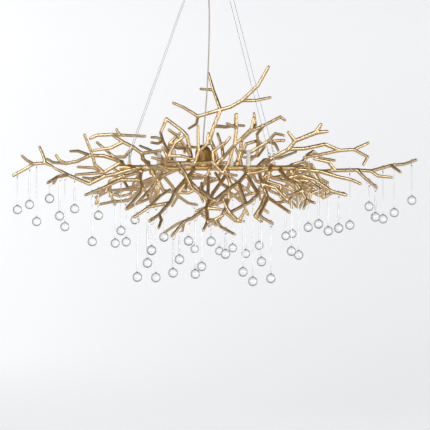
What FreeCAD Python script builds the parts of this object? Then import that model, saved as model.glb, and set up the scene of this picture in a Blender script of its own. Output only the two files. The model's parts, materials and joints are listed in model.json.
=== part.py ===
import FreeCAD, Part
import math
import os
import re
import Sketcher

# Twig chandelier: cast twigs are screwed to a level tube, glass drops hang over the twigs, and four steel
# cables and a power cord lead up to a ceiling canopy. Millimetres. Z is up, X runs along the lamp, and the
# origin is on the ceiling above the middle of the lamp.

Vector = FreeCAD.Vector
UP = Vector(0, 0, 1)
os.makedirs("parts", exist_ok=True)
doc = FreeCAD.newDocument("TwigChandelier")
sheet = doc.addObject("Spreadsheet::Sheet", "Sizes")

# Driving dimensions
SIZES = {
    # whole lamp, as read from the photograph
    "branch_span": 1300,
    "half_depth": 300,
    "camera_range": 3200,
    "camera_drop": 780,
    # twigs
    "twig_root_radius": 6.4,
    "twig_tip_radius": 4.2,
    "boss_radius": 8.5,
    "boss_height": 10,
    "boss_crown_radius": 5,
    "boss_crown_height": 4,
    "seat_gap": 0.1,
    # carrying tube
    "spine_radius": 9,
    "spine_bore_radius": 7,
    "spine_left_reach": 285,
    "spine_right_reach": 305,
    "spine_drop": 627,
    "end_plug_length": 6,
    "end_plug_rim": 3,
    # cross rails and eye bolts
    "rail_width": 12,
    "rail_thickness": 6,
    "rail_half_length": 72,
    "rail_left_reach": 256,
    "rail_right_reach": 206,
    "rail_sink": 1,
    "eye_spread": 60,
    "eye_ring_radius": 6,
    "eye_wire_radius": 1.6,
    "eye_shank_radius": 2.5,
    "eye_shoulder_radius": 4.5,
    "eye_shoulder_height": 2,
    "eye_neck_length": 18,
    # cables
    "cable_radius": 1,
    "loop_radius": 5,
    "loop_wire_radius": 1,
    "link_gap": 0.3,
    "ferrule_radius": 2.4,
    "ferrule_length": 14,
    "cable_straight_length": 30,
    "gripper_reach": 70,
    "gripper_spread": 48,
    "gripper_radius": 6,
    "gripper_height": 13,
    "gripper_roof": 2,
    "release_radius": 3,
    "release_bore_radius": 1.6,
    "release_button_radius": 4.5,
    "release_button_height": 3,
    "release_grip_length": 5,
    "release_travel": 2,
    "slide_gap": 0.3,
    # canopy
    "canopy_radius": 100,
    "canopy_height": 28,
    "canopy_wall": 1.5,
    "canopy_corner": 6,
    "rim_gap": 0.5,
    "bracket_length": 136,
    "bracket_width": 24,
    "bracket_thickness": 3,
    "ceiling_hole_spacing": 70,
    "ceiling_hole_radius": 2.75,
    "stud_spacing": 112,
    "stud_radius": 2,
    "stud_recess": 0.4,
    "thread_gap": 0.1,
    "cap_nut_radius": 6.5,
    "cap_nut_height": 10,
    "cap_nut_roof": 3,
    "block_length": 30,
    "block_width": 14,
    "block_height": 12,
    "block_offset": 18,
    "cord_radius": 2.2,
    "bush_neck_radius": 4.5,
    "bush_flange_radius": 7,
    "bush_flange_height": 3,
    "bush_nut_height": 4,
    # hub
    "hub_offset": 17,
    "hub_plate_radius": 28,
    "hub_plate_thickness": 6,
    "hub_plate_sink": 3,
    "dome_radius": 26,
    "dome_height": 62,
    "dome_wall": 1.5,
    "hub_block_length": 22,
    "hub_screw_offset": 18,
    # lamps
    "lamp_far_left_reach": 160,
    "lamp_near_left_reach": 112,
    "lamp_near_right_reach": 73,
    "lamp_far_right_reach": 130,
    "holder_radius": 8.5,
    "holder_height": 20,
    "holder_sink": 4,
    "nipple_radius": 2.5,
    "nipple_length": 5,
    "pin_spacing": 9,
    "pin_radius": 0.6,
    "pin_length": 9,
    "pin_gap": 0.2,
    "lamp_base_radius": 7.2,
    "lamp_base_height": 7,
    "lamp_bulb_radius": 6.4,
    "lamp_length": 34,
    "wire_radius": 0.8,
    "wire_ring_radius": 5.9,
    "wire_gap": 0.2,
    "wire_entry": 3,
    "wire_offset": 5,
    # screws
    "screw_radius": 2,
    "screw_bite": 9,
    "screw_head_radius": 3.5,
    "screw_head_height": 2.4,
    "screw_seat_depth": 1,
    # drops
    "ball_radius": 15,
    "stem_radius": 1.5,
    "spindle_radius": 3,
    "neck_radius": 4,
    "neck_length": 9,
    "hook_wire_radius": 1.3,
    "hook_gap": 0.8,
    "hook_slack": 3,
    # one length by which every cutting tool overruns what it cuts
    "overrun": 4,
}

for row, (name, value) in enumerate(SIZES.items(), start=1):
    sheet.set(f"A{row}", name)
    sheet.set(f"B{row}", str(value))
    sheet.setAlias(f"B{row}", name)
doc.recompute()


def size(name):
    """One driving dimension, read from the sheet."""
    return float(sheet.get(name))


# Reading the photograph: a point is (pixel column, pixel row, depth share), where depth share -1 is the front
# of the lamp and 1 is its back. The camera looks level, a little from the left of the lamp's middle.
SPAN_PIXELS = 400
MIDDLE_COLUMN_PIXELS = 208.5
CAMERA_COLUMN_PIXELS = 215
CAMERA_ROW_PIXELS = 215
CAMERA_TURN_DEGREES = 3.5
CAMERA_TURN = math.radians(CAMERA_TURN_DEGREES)
PIXEL = size("branch_span") / SPAN_PIXELS
CAMERA_ACROSS = (CAMERA_COLUMN_PIXELS - MIDDLE_COLUMN_PIXELS) * PIXEL


def place(column, row, depth_share):
    """The point of the model that is seen at a pixel, at a chosen depth."""
    away = depth_share * size("half_depth")
    nearness = 1 + away / size("camera_range")
    across = CAMERA_ACROSS + (column - CAMERA_COLUMN_PIXELS) * PIXEL * nearness
    return Vector(
        across * math.cos(CAMERA_TURN) + away * math.sin(CAMERA_TURN),
        away * math.cos(CAMERA_TURN) - across * math.sin(CAMERA_TURN),
        (CAMERA_ROW_PIXELS - row) * PIXEL * nearness - size("camera_drop"),
    )


def away_from(point):
    """How far behind the lamp's middle a point is, as the camera sees it."""
    return point.x * math.sin(CAMERA_TURN) + point.y * math.cos(CAMERA_TURN)


def column_error(point, column):
    """How far a point is to the right of a pixel column."""
    nearness = 1 + away_from(point) / size("camera_range")
    across = point.x * math.cos(CAMERA_TURN) - point.y * math.sin(CAMERA_TURN)
    return across - CAMERA_ACROSS - (column - CAMERA_COLUMN_PIXELS) * PIXEL * nearness


def share_at_column(start, end, column):
    """How far along a straight line the camera sees a pixel column."""
    first = column_error(start, column)
    return first / (first - column_error(end, column))


def height_at(point, row):
    """The height that is seen at a pixel row, as far from the camera as a point."""
    nearness = 1 + away_from(point) / size("camera_range")
    return (CAMERA_ROW_PIXELS - row) * PIXEL * nearness - size("camera_drop")


# Castings. A station is the pixel column where a casting is screwed to the tube, and seat_degrees is the side
# of the tube that it sits on: 0 is the back, 90 the top, 180 the front. A twig is (parent twig, knot of the
# parent, tip share, pixels): knot 0 is where the parent starts, and a tip share of 0 is as thick as a root and
# 1 as thin as a tip. A pixel has a depth share too, or lies in the upright plane through its neighbours that do.
CASTINGS = {
    "left_reach_twig": (134, 200, [
        (None, 0, 0.75, [(116, 174, -.06), (105, 176), (89.5, 184), (68, 175), (45.5, 163), (34, 164),
                         (13.5, 175.5, -.16)]),
        (0, 6, 1.0, [(27, 160.5), (22, 156, -.24)]),
        (0, 5, 1.0, [(43, 155, -.11), (39.5, 147, -.08)]),
        (0, 4, 1.0, [(57, 177), (48, 183, -.44)]),
        (3, 1, 1.1, [(53.5, 183.5, -.26)]),
        (0, 2, 1.0, [(91, 179), (83, 177.5, .04)]),
    ]),
    "left_upper_twig": (124, 20, [
        (None, 0, 0.5, [(122, 162, .10), (104, 156), (90, 155.5), (77, 161.5), (66, 163.5, .24)]),
        (0, 5, 1.0, [(59.5, 160.5), (56, 155.5, .20)]),
        (0, 5, 1.0, [(53, 162.5), (47, 159, .34)]),
        (0, 3, 1.0, [(78, 151), (70.5, 151.3, .32)]),
        (0, 1, 0.9, [(104, 172.5, .10), (95, 165, .08), (92, 154, .05), (84.5, 135, .0)]),
        (4, 1, 1.0, [(94, 168), (78, 167, .20)]),
        (4, 1, 1.0, [(76, 174.7, .04)]),
    ]),
    "left_crown_twig": (148, 100, [
        (None, 0, 0.75, [(143, 159, -.02), (142, 153.5, -.06), (133, 147), (123, 142), (112, 134.6),
                         (97, 135.3), (90.5, 138.2, -.02)]),
        (0, 2, 1.0, [(151, 152), (161, 150.4, -.16)]),
        (0, 5, 0.9, [(119.5, 135), (145, 136.3, -.20)]),
        (2, 1, 1.1, [(116.5, 129.5, -.08)]),
        (0, 3, 1.0, [(124.5, 157), (114, 157), (97, 142.6, .10)]),
        (0, 4, 1.0, [(111, 148), (94, 150.5, -.02)]),
        (0, 1, 1.0, [(150.5, 167, -.14), (160, 165.5), (168, 171, -.26)]),
    ]),
    "left_lower_twig": (141, 235, [
        (None, 0, 0.4, [(140, 180, -.14), (143, 189, -.22)]),
        (0, 1, 1.0, [(119.6, 180), (106, 186.5), (85.5, 195, -.38)]),
        (1, 2, 1.0, [(98.5, 195.5, -.22), (96, 203.5, -.22)]),
        (0, 2, 0.9, [(138, 196), (126, 209, -.40)]),
        (0, 2, 1.0, [(128, 200.5), (111, 202), (99, 204.5, -.02)]),
        (0, 2, 1.0, [(123, 189.5), (111.5, 190.5, -.06)]),
        (0, 2, 1.0, [(152, 183), (160, 172, -.36)]),
    ]),
    "sweep_twig": (193, 205, [
        (None, 0, 0.8, [(192, 172, -.16), (176, 190), (170, 202.5), (159, 214.5), (150, 221, -.76)]),
        (0, 3, 0.9, [(149, 207), (134.5, 217, -.72)]),
        (1, 1, 1.0, [(159.5, 196.4, -.36), (170, 189.5, -.26)]),
        (0, 4, 1.0, [(161.5, 220, -.70), (158.6, 228, -.78)]),
        (0, 1, 1.0, [(187, 181, -.22), (185.5, 190.5, -.30)]),
    ]),
    "middle_left_crown_twig": (187, 95, [
        (None, 0, 0.5, [(191, 156, .04), (187, 136), (182.5, 131), (166.5, 119, .16)]),
        (0, 4, 0.9, [(160.5, 133, .12), (163, 141, .07), (173, 161, -.12)]),
        (0, 1, 0.8, [(186, 148), (177.7, 136), (169, 130, -.10)]),
        (1, 2, 1.0, [(157, 137.5), (151.5, 137.4, .13)]),
        (1, 2, 1.0, [(158, 143.5), (151.5, 142.6, -.12)]),
        (2, 1, 1.0, [(178.4, 148.2), (170.7, 146.5, -.15)]),
        (1, 3, 1.0, [(163, 160.5), (152, 157.5, -.16)]),
    ]),
    "tall_crown_twig": (218.2, 95, [
        (None, 0, 0.2, [(216.5, 157, .02), (213.5, 147, .02), (210, 139.5, .03), (214, 126, .05),
                        (220.5, 109.8, .08)]),
        (0, 5, 0.7, [(230, 107.3), (242, 100.6), (258, 85.5), (268.5, 67, -.06)]),
        (1, 2, 1.0, [(256, 100.4), (270.3, 97.5, .10)]),
        (0, 5, 1.0, [(213.2, 90, .16), (208.5, 73.3, .20)]),
        (3, 1, 1.1, [(200.6, 89, .22)]),
        (0, 5, 1.0, [(198, 116.4), (183.2, 107.3), (173.2, 103, .16)]),
        (5, 1, 1.0, [(196.4, 124, .18), (189, 128.5, .24)]),
        (0, 4, 1.0, [(226, 127, .18), (235.4, 125.2), (244, 125.8, .36)]),
        (7, 2, 1.0, [(235.4, 115, .29)]),
    ]),
    "middle_right_crown_twig": (237, 80, [
        (None, 0, 0.7, [(240, 152, .06), (241.8, 139.5, .10), (250.9, 131.1), (264, 125.4), (280.4, 117, .10)]),
        (0, 5, 1.1, [(285, 120.2, .12)]),
        (0, 3, 1.0, [(255.5, 125, .19), (254, 113.5, .21)]),
        (0, 4, 1.0, [(257, 134, .19), (258.6, 146.5, .24)]),
        (0, 1, 0.8, [(250, 152.5, .16), (268, 141.5), (284, 140.3, .10)]),
        (4, 2, 1.0, [(275, 133.5), (284, 135.3, .02)]),
        (4, 2, 1.0, [(275.5, 144.5, .06), (278.3, 150.5, .02)]),
    ]),
    "right_upper_twig": (265, 100, [
        (None, 0, 0.1, [(271, 159, -.05), (288.7, 149.3), (295, 141, -.13)]),
        (0, 3, -0.4, [(316, 132.5, -.16)]),
        (0, 3, 1.0, [(288.3, 132.3, -.16)]),
        (1, 1, 0.8, [(321, 124.5, -.18)]),
        (1, 1, 0.8, [(327.3, 131.5, -.20)]),
        (0, 2, 0.8, [(305, 148.5), (325, 144.3), (340, 150.5), (354, 149.5), (368.2, 143, .10)]),
        (5, 4, 1.0, [(367.8, 157, .05), (363.3, 164.5, .02)]),
        (5, 3, 1.0, [(318, 155), (304, 157.5, -.06)]),
    ]),
    "right_reach_twig": (297, 200, [
        (None, 0, 0.8, [(320, 171.5, -.08), (335, 170.5), (357, 170), (371, 171), (391, 165.5), (405, 164),
                        (415.8, 160, -.10)]),
        (0, 2, 1.0, [(328.5, 162), (314, 158.8, -.16)]),
        (0, 5, 1.0, [(400.5, 172.2, -.32)]),
        (0, 4, 1.0, [(378, 176), (391.7, 177.4, -.20)]),
        (0, 3, 0.9, [(366, 179), (376.7, 187.7, -.25)]),
        (0, 1, 0.9, [(337, 176.5), (352, 180), (360.3, 183.8, -.26)]),
    ]),
    "right_lower_twig": (281, 215, [
        (None, 0, 0.5, [(286, 178.5, -.18), (297.3, 184), (301.5, 190.5, -.34)]),
        (0, 1, 0.8, [(299, 175.5), (315, 179.7), (331.8, 191.3), (346.1, 195.2, -.44)]),
        (0, 3, 1.0, [(314, 189.5, -.42)]),
        (0, 3, 1.0, [(288.7, 196.3, -.44)]),
        (0, 3, 1.0, [(307, 200, -.40), (303.5, 208.5, -.45)]),
        (4, 1, 1.0, [(314.5, 203, -.48)]),
        (1, 1, 1.0, [(308.8, 171, -.30), (308.8, 162.5, -.33)]),
    ]),
    "front_web_twig": (245, 213, [
        (None, 0, 0.1, [(246, 174, -.16), (238.9, 182.3), (229, 188.6, -.38)]),
        (0, 3, 0.6, [(214.4, 200.5, -.54), (208, 195.6, -.48), (208.4, 178, -.28)]),
        (1, 2, 1.0, [(202.3, 190.5, -.42), (201.5, 183, -.37)]),
        (0, 3, 1.0, [(222, 184, -.31), (215.5, 173, -.20)]),
        (0, 2, 1.0, [(241, 190, -.38), (246, 203, -.48)]),
        (0, 1, 0.5, [(251, 182.3, -.24), (258.6, 194.2, -.40), (250.2, 201.9), (229.8, 212.8, -.68)]),
        (5, 4, 1.0, [(225.6, 205.4, -.65), (223.5, 199, -.62)]),
        (5, 4, 0.9, [(238.5, 221.4), (245.2, 210.7, -.72)]),
        (0, 1, 1.0, [(257, 172.5), (267, 169.6, -.26)]),
    ]),
    "front_low_twig": (227, 240, [
        (None, 0, 0.4, [(224, 178, -.08), (213, 193, -.22), (206, 208, -.36), (207.7, 221.4, -.48)]),
        (0, 4, 1.0, [(203.2, 230.4, -.55)]),
        (0, 4, 1.0, [(215.3, 219.5), (221, 227), (234.5, 234.4, -.75)]),
        (2, 1, 1.0, [(223, 215.5, -.58)]),
        (0, 3, 1.0, [(192.5, 218), (184, 221.5), (172, 236, -.68)]),
        (4, 2, 1.0, [(182.2, 230.8, -.50)]),
        (4, 1, 1.0, [(177, 224), (165.7, 231.7, -.20)]),
        (0, 3, 1.0, [(222, 209.5, -.41)]),
    ]),
    "low_right_twig": (259, 245, [
        (None, 0, 0.7, [(262, 184, -.14), (268, 197.5), (276, 203), (289.3, 212.2, -.50)]),
        (0, 3, 1.0, [(284, 201.5, -.42)]),
        (0, 2, 0.9, [(259, 216, -.42), (272.5, 223.5, -.52)]),
        (0, 1, 1.0, [(276, 188), (285, 198, -.26)]),
    ]),
    "back_left_twig": (164, -20, [
        (None, 0, 0.7, [(160, 172, .18), (150, 182), (128, 188), (110, 196, .62)]),
        (0, 2, 1.0, [(156, 193, .44), (150, 202, .54)]),
        (0, 3, 1.0, [(122, 178, .56), (108, 175, .64)]),
        (0, 1, 0.9, [(172, 186), (178, 196), (188, 203), (197, 205, .68)]),
        (3, 2, 1.0, [(172, 206, .52)]),
        (0, 1, 1.0, [(162, 158, .34), (150, 150), (140, 146, .56)]),
    ]),
    "back_right_twig": (252, -15, [
        (None, 0, 0.7, [(252, 172, .18), (256, 181), (282, 190), (296, 200, .62)]),
        (0, 3, 1.0, [(292, 180), (306, 178, .44)]),
        (0, 1, 0.9, [(248, 188, .30), (230, 197.5), (217, 204, .66)]),
        (0, 1, 1.0, [(264, 160, .34), (280, 158), (296, 152, .58)]),
    ]),
}

# Inner castings, which fill the lamp between the others: each is the second one of its node.
INNER_CASTINGS = {
    "low_right_twig": (270, 205, [
        (None, 0, 0.8, [(268.5, 172, -.10), (268, 181.5, -.13), (266.5, 191.5, -.09), (260.5, 207, -.17),
                        (254.5, 216, -.21)]),
        (0, 1, 1.0, [(263, 178, -.13)]),
        (0, 2, 1.0, [(281, 185.5, -.16), (294.5, 192, -.11)]),
        (2, 1, 1.0, [(281, 198, -.21), (288.5, 203, -.22)]),
        (0, 3, 1.0, [(251.5, 193.5, -.08), (238, 198, -.10)]),
        (4, 1, 1.0, [(241.5, 185.5, -.08), (231.5, 177.5, -.09)]),
        (0, 4, 1.0, [(268, 212.5, -.17)]),
        (0, 5, 1.0, [(261.5, 222, -.21)]),
    ]),
    "sweep_twig": (155.6, 184, [
        (None, 0, 0.8, [(161.5, 165, -.16), (178.5, 163, -.27), (195, 163, -.25), (212, 162, -.35)]),
        (0, 1, 1.0, [(168.5, 156, -.25), (175, 143, -.27), (184, 136.5, -.28)]),
        (1, 1, 1.0, [(181, 156, -.27), (193.5, 159, -.28)]),
        (0, 2, 1.0, [(186, 174.5, -.35), (192, 188, -.42), (203.5, 197, -.50)]),
        (0, 3, 1.0, [(198.5, 152, -.25), (198, 137, -.26), (198, 126.5, -.26)]),
        (4, 1, 1.0, [(207, 144, -.24), (208.5, 133.5, -.22)]),
        (0, 4, 1.0, [(222, 173, -.31), (236.5, 175.5, -.22)]),
        (6, 1, 1.0, [(228.5, 162.5, -.28), (232.5, 150.5, -.29)]),
    ]),
    "middle_left_crown_twig": (168, 70, [
        (None, 0, 0.8, [(167, 155, .03), (170, 143, .08), (179.5, 133.5, .06)]),
        (0, 1, 1.0, [(162.5, 147.5, .04)]),
        (0, 2, 1.0, [(182.5, 145.5, .06), (195, 147.5, .15), (209.5, 144, .09)]),
        (2, 1, 1.0, [(184.5, 152.5, .04)]),
    ]),
    "front_low_twig": (222.3, 175, [
        (None, 0, 0.8, [(225, 167.5, -.15), (230, 183.5, -.20), (228.5, 200, -.25), (224, 211.5, -.33),
                        (216, 225, -.38)]),
        (0, 1, 1.0, [(216.5, 179.5, -.12), (204, 184.5, -.04)]),
        (1, 1, 1.0, [(204, 176.5, -.16), (194, 173.5, -.22)]),
        (0, 2, 1.0, [(238.5, 190.5, -.17), (243, 203.5, -.14), (248, 214.5, -.14)]),
        (0, 3, 1.0, [(214.5, 204, -.21), (207, 207, -.23), (196, 211, -.21)]),
        (0, 4, 1.0, [(235, 221, -.34), (243.5, 221.5, -.33)]),
        (0, 5, 1.0, [(204, 216.5, -.36), (198.5, 210, -.34)]),
    ]),
    "right_reach_twig": (289, 10, [
        (None, 0, 0.8, [(292, 165, .19), (302, 162, .16), (311.5, 165, .23), (319.5, 178, .27),
                        (327.5, 182.5, .33)]),
        (0, 1, 1.0, [(306, 167.5, .21), (313, 176.5, .21), (320.5, 189.5, .25)]),
        (0, 2, 1.0, [(313, 151.5, .21), (322, 158.5, .23), (334.5, 160.5, .24)]),
        (2, 1, 1.0, [(306.5, 155, .22)]),
        (0, 3, 1.0, [(309.5, 178, .29), (304.5, 188, .25), (299, 201, .26)]),
        (0, 4, 1.0, [(324.5, 191, .29)]),
        (0, 5, 1.0, [(325.5, 196.5, .32)]),
    ]),
    "back_left_twig": (181, 230, [
        (None, 0, 0.8, [(187, 178, -.10), (198.5, 190, -.17), (207, 199.5, -.20), (217, 205, -.15)]),
        (0, 1, 1.0, [(201, 178, -.06), (210, 174, -.07)]),
        (0, 2, 1.0, [(203, 201.5, -.24)]),
        (0, 3, 1.0, [(207.5, 213.5, -.17), (209, 226, -.18)]),
        (0, 4, 1.0, [(224, 196, -.08), (232, 193.5, -.05), (240, 201, -.04)]),
    ]),
    "left_upper_twig": (145, -10, [
        (None, 0, 0.8, [(141, 171.5, .09), (125.5, 176, .06), (110, 181, .07), (106, 192, .05),
                        (96, 197.5, .08)]),
        (0, 1, 1.0, [(133, 184, .17)]),
        (0, 2, 1.0, [(113.5, 169, .05)]),
        (0, 3, 1.0, [(110, 193, .08), (114.5, 204.5, .07)]),
        (3, 1, 1.0, [(120, 196.5, .07), (131, 194, .12)]),
        (0, 4, 1.0, [(94, 193, .10)]),
    ]),
    "tall_crown_twig": (214.2, 185, [
        (None, 0, 0.8, [(213.5, 167, -.16), (223.5, 157.5, -.15), (234.5, 145, -.26), (236.5, 128, -.27),
                        (236.5, 114.5, -.26)]),
        (0, 1, 1.0, [(212.5, 152, -.17), (224, 143, -.17)]),
        (0, 2, 1.0, [(222, 147, -.11), (217.5, 133.5, -.04)]),
        (2, 1, 1.0, [(230, 137.5, -.13)]),
        (0, 3, 1.0, [(241, 139, -.26), (251.5, 128.5, -.24), (253.5, 118, -.23)]),
        (0, 4, 1.0, [(227, 123.5, -.36)]),
    ]),
    "right_lower_twig": (292, 250, [
        (None, 0, 0.8, [(295, 179.5, .01), (310, 187.5, -.05), (323.5, 197.5, -.06), (332.5, 192.5, -.06),
                        (344, 193.5, -.03)]),
        (0, 1, 1.0, [(296.5, 191, .01), (298, 206, .03)]),
        (1, 1, 1.0, [(289.5, 201, -.06), (292, 208, -.04)]),
        (0, 2, 1.0, [(303, 201, -.07), (299, 208.5, -.03)]),
        (0, 3, 1.0, [(321, 189.5, -.08), (309, 181.5, -.05), (299.5, 180, -.08)]),
        (4, 1, 1.0, [(311, 193.5, -.12), (308, 204, -.15)]),
    ]),
    "back_right_twig": (262, -10, [
        (None, 0, 0.8, [(266.5, 170.5, .18), (272.5, 178, .22), (287, 181.5, .23), (294, 187.5, .25),
                        (300.5, 195, .30)]),
        (0, 1, 1.0, [(264.5, 182, .14), (258.5, 190, .11), (260.5, 199.5, .12)]),
        (1, 1, 1.0, [(270.5, 191, .10), (279.5, 195, .10)]),
        (0, 2, 1.0, [(287, 175, .23), (295, 173, .27), (307, 176, .35)]),
        (3, 1, 1.0, [(289.5, 168, .22)]),
        (0, 3, 1.0, [(287, 196, .31), (296.5, 207, .29)]),
        (0, 4, 1.0, [(302.5, 186.5, .21), (311, 185.5, .13), (325, 183.5, .06)]),
        (6, 1, 1.0, [(311.5, 191.5, .21), (319, 196, .22)]),
    ]),
    "left_lower_twig": (184, -10, [
        (None, 0, 0.8, [(177, 169.5, .12), (164, 175, .14), (154.5, 184.5, .15), (149.5, 198.5, .13),
                        (136, 204, .08)]),
        (0, 1, 1.0, [(166.5, 163, .07), (158, 152.5, .03)]),
        (1, 1, 1.0, [(159.5, 163, .10), (153.5, 174.5, .13)]),
        (0, 2, 1.0, [(150, 179, .16), (138, 183.5, .18), (130.5, 192.5, .20)]),
        (0, 3, 1.0, [(144.5, 195.5, .09), (137.5, 202.5, .03)]),
        (0, 4, 1.0, [(144.5, 190, .17)]),
        (0, 5, 1.0, [(127.5, 209, .05)]),
    ]),
    "left_crown_twig": (152, 277, [
        (None, 0, 0.8, [(158.5, 181, -.05), (163.5, 191, -.06), (179.5, 192.5, -.05), (188.5, 193, -.04),
                        (203, 186.5, -.08)]),
        (0, 1, 1.0, [(158, 195.5, -.07), (153, 202.5, -.04)]),
        (0, 3, 1.0, [(185, 184.5, -.05), (194, 174.5, -.04)]),
        (2, 1, 1.0, [(193, 190.5, -.01)]),
        (0, 5, 1.0, [(206.5, 177, -.11), (209.5, 169, -.11)]),
    ]),
    "middle_right_crown_twig": (241.2, 0, [
        (None, 0, 0.8, [(242.5, 169, .19), (240, 159, .23), (246, 144, .23), (258, 140.5, .27),
                        (264.5, 147, .28)]),
        (0, 1, 1.0, [(231, 162.5, .20), (221, 163, .21), (212.5, 163, .22)]),
        (0, 2, 1.0, [(235, 147, .29)]),
        (0, 4, 1.0, [(257, 154.5, .29), (247.5, 163, .26)]),
        (0, 5, 1.0, [(258, 156, .33), (244, 157.5, .36)]),
    ]),
}
TWIG_NODES = list(CASTINGS)
CASTINGS.update({f"{node}_inner": facts for node, facts in INNER_CASTINGS.items()})

# Drops: each group hangs over one twig, as (casting, twig, pixels of the balls).
DROPS = {
    "left_tip_drops": ("left_reach_twig", 0, [(17.4, 209.7), (29.5, 204.6), (36.6, 221.6), (74.6, 208.8)]),
    "left_fork_drops": ("left_reach_twig", 3, [(49.5, 198.6), (59.5, 216), (64.8, 226.7)]),
    "left_front_drops": ("left_lower_twig", 1, [(92.2, 241.6), (98.4, 215.4), (121, 230.7)]),
    "left_low_drops": ("left_lower_twig", 4, [(115.2, 243.2), (126.1, 241.9), (135, 219.8)]),
    "sweep_side_drops": ("sweep_twig", 1, [(137.3, 277), (147.4, 263), (155.8, 277.5)]),
    "sweep_drops": ("sweep_twig", 0, [(151.5, 250.4), (163.9, 237)]),
    "front_fan_drops": ("front_low_twig", 4, [(173, 272.8), (179.4, 259.4), (188.5, 241), (195.2, 274),
                                              (201.6, 266.5)]),
    "front_low_drops": ("front_low_twig", 2, [(211, 241.5), (225.4, 254)]),
    "web_drops": ("front_web_twig", 5, [(243, 271.9), (252.8, 281.4)]),
    "low_right_drops": ("low_right_twig", 2, [(261.4, 261.6), (270.8, 278.5)]),
    "right_fork_drops": ("right_lower_twig", 3, [(291.4, 251.2), (298.6, 255)]),
    "right_long_drops": ("right_lower_twig", 1, [(308.2, 227.3), (318.6, 224), (328.2, 231), (338.6, 228.2)]),
    "right_reach_drops": ("right_reach_twig", 0, [(349.8, 225.2), (383, 218.9), (394.2, 212.7), (411.8, 200.4)]),
    "right_fork_small_drops": ("right_reach_twig", 4, [(369, 206.5), (375.3, 217)]),
    "back_left_drops": ("back_left_twig", 3, [(194.7, 249)]),
    "back_middle_drops": ("back_right_twig", 2, [(219.3, 251), (232.7, 248), (245.8, 253.6)]),
    "back_right_drops": ("back_right_twig", 0, [(259.2, 245.5), (285.6, 236), (292.2, 233.8)]),
}

# The balls whose stem is a slender spindle; the others hang on an even stem
SPINDLE_COLUMNS = (29.5, 49.5, 59.5, 74.6, 98.4, 147.4, 173, 179.4, 211, 225.4, 285.6, 318.6, 338.6, 375.3)


def twig_radius(tip_share):
    """A twig's radius: as a root at share 0, as a tip at share 1."""
    root, tip = size("twig_root_radius"), size("twig_tip_radius")
    return root + (tip - root) * tip_share


def spine_point(station):
    """The point of the tube's axis at a pixel column of the photograph."""
    return Vector((station - MIDDLE_COLUMN_PIXELS) * PIXEL, 0, -size("spine_drop"))


def seat_direction(seat_degrees):
    """The way in which a casting leaves the tube."""
    return Vector(0, math.cos(math.radians(seat_degrees)), math.sin(math.radians(seat_degrees)))


def boss_point(station, seat_degrees):
    """The middle of the boss that seats a casting on the tube."""
    reach = size("spine_radius") + size("boss_height") / 2
    return spine_point(station) + seat_direction(seat_degrees) * reach


def upright_points(start, pixels):
    """The points of one twig after its start, with those that have no depth on the upright planes between."""
    points = [place(*pixel) if len(pixel) == 3 else None for pixel in pixels]
    before = start
    for i, point in enumerate(points):
        if point is None:
            after = next(p for p in points[i:] if p is not None)
            column, row = pixels[i]
            share = share_at_column(before, after, column)
            point = before + (after - before) * share
            points[i] = Vector(point.x, point.y, height_at(point, row))
        else:
            before = point
    return points


def twig_runs(name):
    """The straight runs of a casting, twig by twig: each is (start, end, start radius, end radius)."""
    station, seat_degrees, twigs = CASTINGS[name]
    all_points, all_radii = [], []
    for parent, knot, tip_share, pixels in twigs:
        if parent is None:
            start, start_radius = boss_point(station, seat_degrees), twig_radius(0)
            first = place(*pixels[0])
            points = [start, first] + upright_points(first, pixels[1:])
        else:
            start, start_radius = all_points[parent][knot], all_radii[parent][knot]
            points = [start] + upright_points(start, pixels)
        steps = len(points) - 1
        end_radius = twig_radius(tip_share)
        all_points.append(points)
        all_radii.append([start_radius + (end_radius - start_radius) * i / steps for i in range(steps + 1)])
    return [
        list(zip(points, points[1:], radii, radii[1:])) for points, radii in zip(all_points, all_radii)
    ]


def hang(run, column, row):
    """How a drop hangs on a run whose ball is seen at a pixel: its point, hook and ball."""
    start, end, start_radius, end_radius = run
    share = share_at_column(start, end, column)
    point = start + (end - start) * share
    along = end - start
    level = math.hypot(along.x, along.y) / along.Length
    radius = start_radius + (end_radius - start_radius) * share
    rise = (radius + size("hook_gap") + size("hook_wire_radius")) / level
    return {
        "point": point,
        "hook_top": point.z + rise,
        "hook_radius": rise + size("hook_slack"),
        "ball_height": height_at(point, row),
        "level": Vector(along.x, along.y, 0).normalize(),
        "spindle": column in SPINDLE_COLUMNS,
    }


def group_hangs(name):
    """The drops of one group, each on the run nearest the twig's tip that passes over its ball."""
    casting, twig, pixels = DROPS[name]
    runs = twig_runs(casting)[twig]
    hangs = []
    for column, row in pixels:
        run = next(r for r in reversed(runs) if column_error(r[0], column) * column_error(r[1], column) <= 0)
        hangs.append(hang(run, column, row))
    return hangs


def hinge_line(name):
    """The line that a group swings about: a point of it and its direction, as near as can be to its twig."""
    casting, twig, _ = DROPS[name]
    start, end = twig_runs(casting)[twig][-1][:2]
    level = Vector(end.x - start.x, end.y - start.y, 0).normalize()
    points = [hang["point"] for hang in group_hangs(name)]
    middle = sum(points, Vector()) / len(points)
    steps = [((point - middle).dot(level), point.z - middle.z) for point in points]
    spread = sum(step ** 2 for step, _ in steps)
    slope = sum(step * rise for step, rise in steps) / spread if spread else 0
    return middle, (level + UP * slope).normalize()


# Cables and cord, as lists of points
CORNERS = {"front_left": (-1, -1), "front_right": (1, -1), "back_left": (-1, 1), "back_right": (1, 1)}
CANOPY_FLOOR = -size("rim_gap") - size("canopy_height")
RAIL_BOTTOM = size("spine_radius") - size("rail_sink") - size("spine_drop")
RAIL_TOP = RAIL_BOTTOM + size("rail_thickness")
EYE_HEIGHT = RAIL_TOP + size("eye_neck_length") + size("eye_ring_radius")
HUB_TOP = size("spine_radius") - size("hub_plate_sink") + size("hub_plate_thickness") - size("spine_drop")
DOME_TOP = HUB_TOP + size("dome_height")


def rail_reach(side_x):
    """Where along the tube a cross rail lies."""
    return side_x * size("rail_left_reach" if side_x < 0 else "rail_right_reach")


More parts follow.
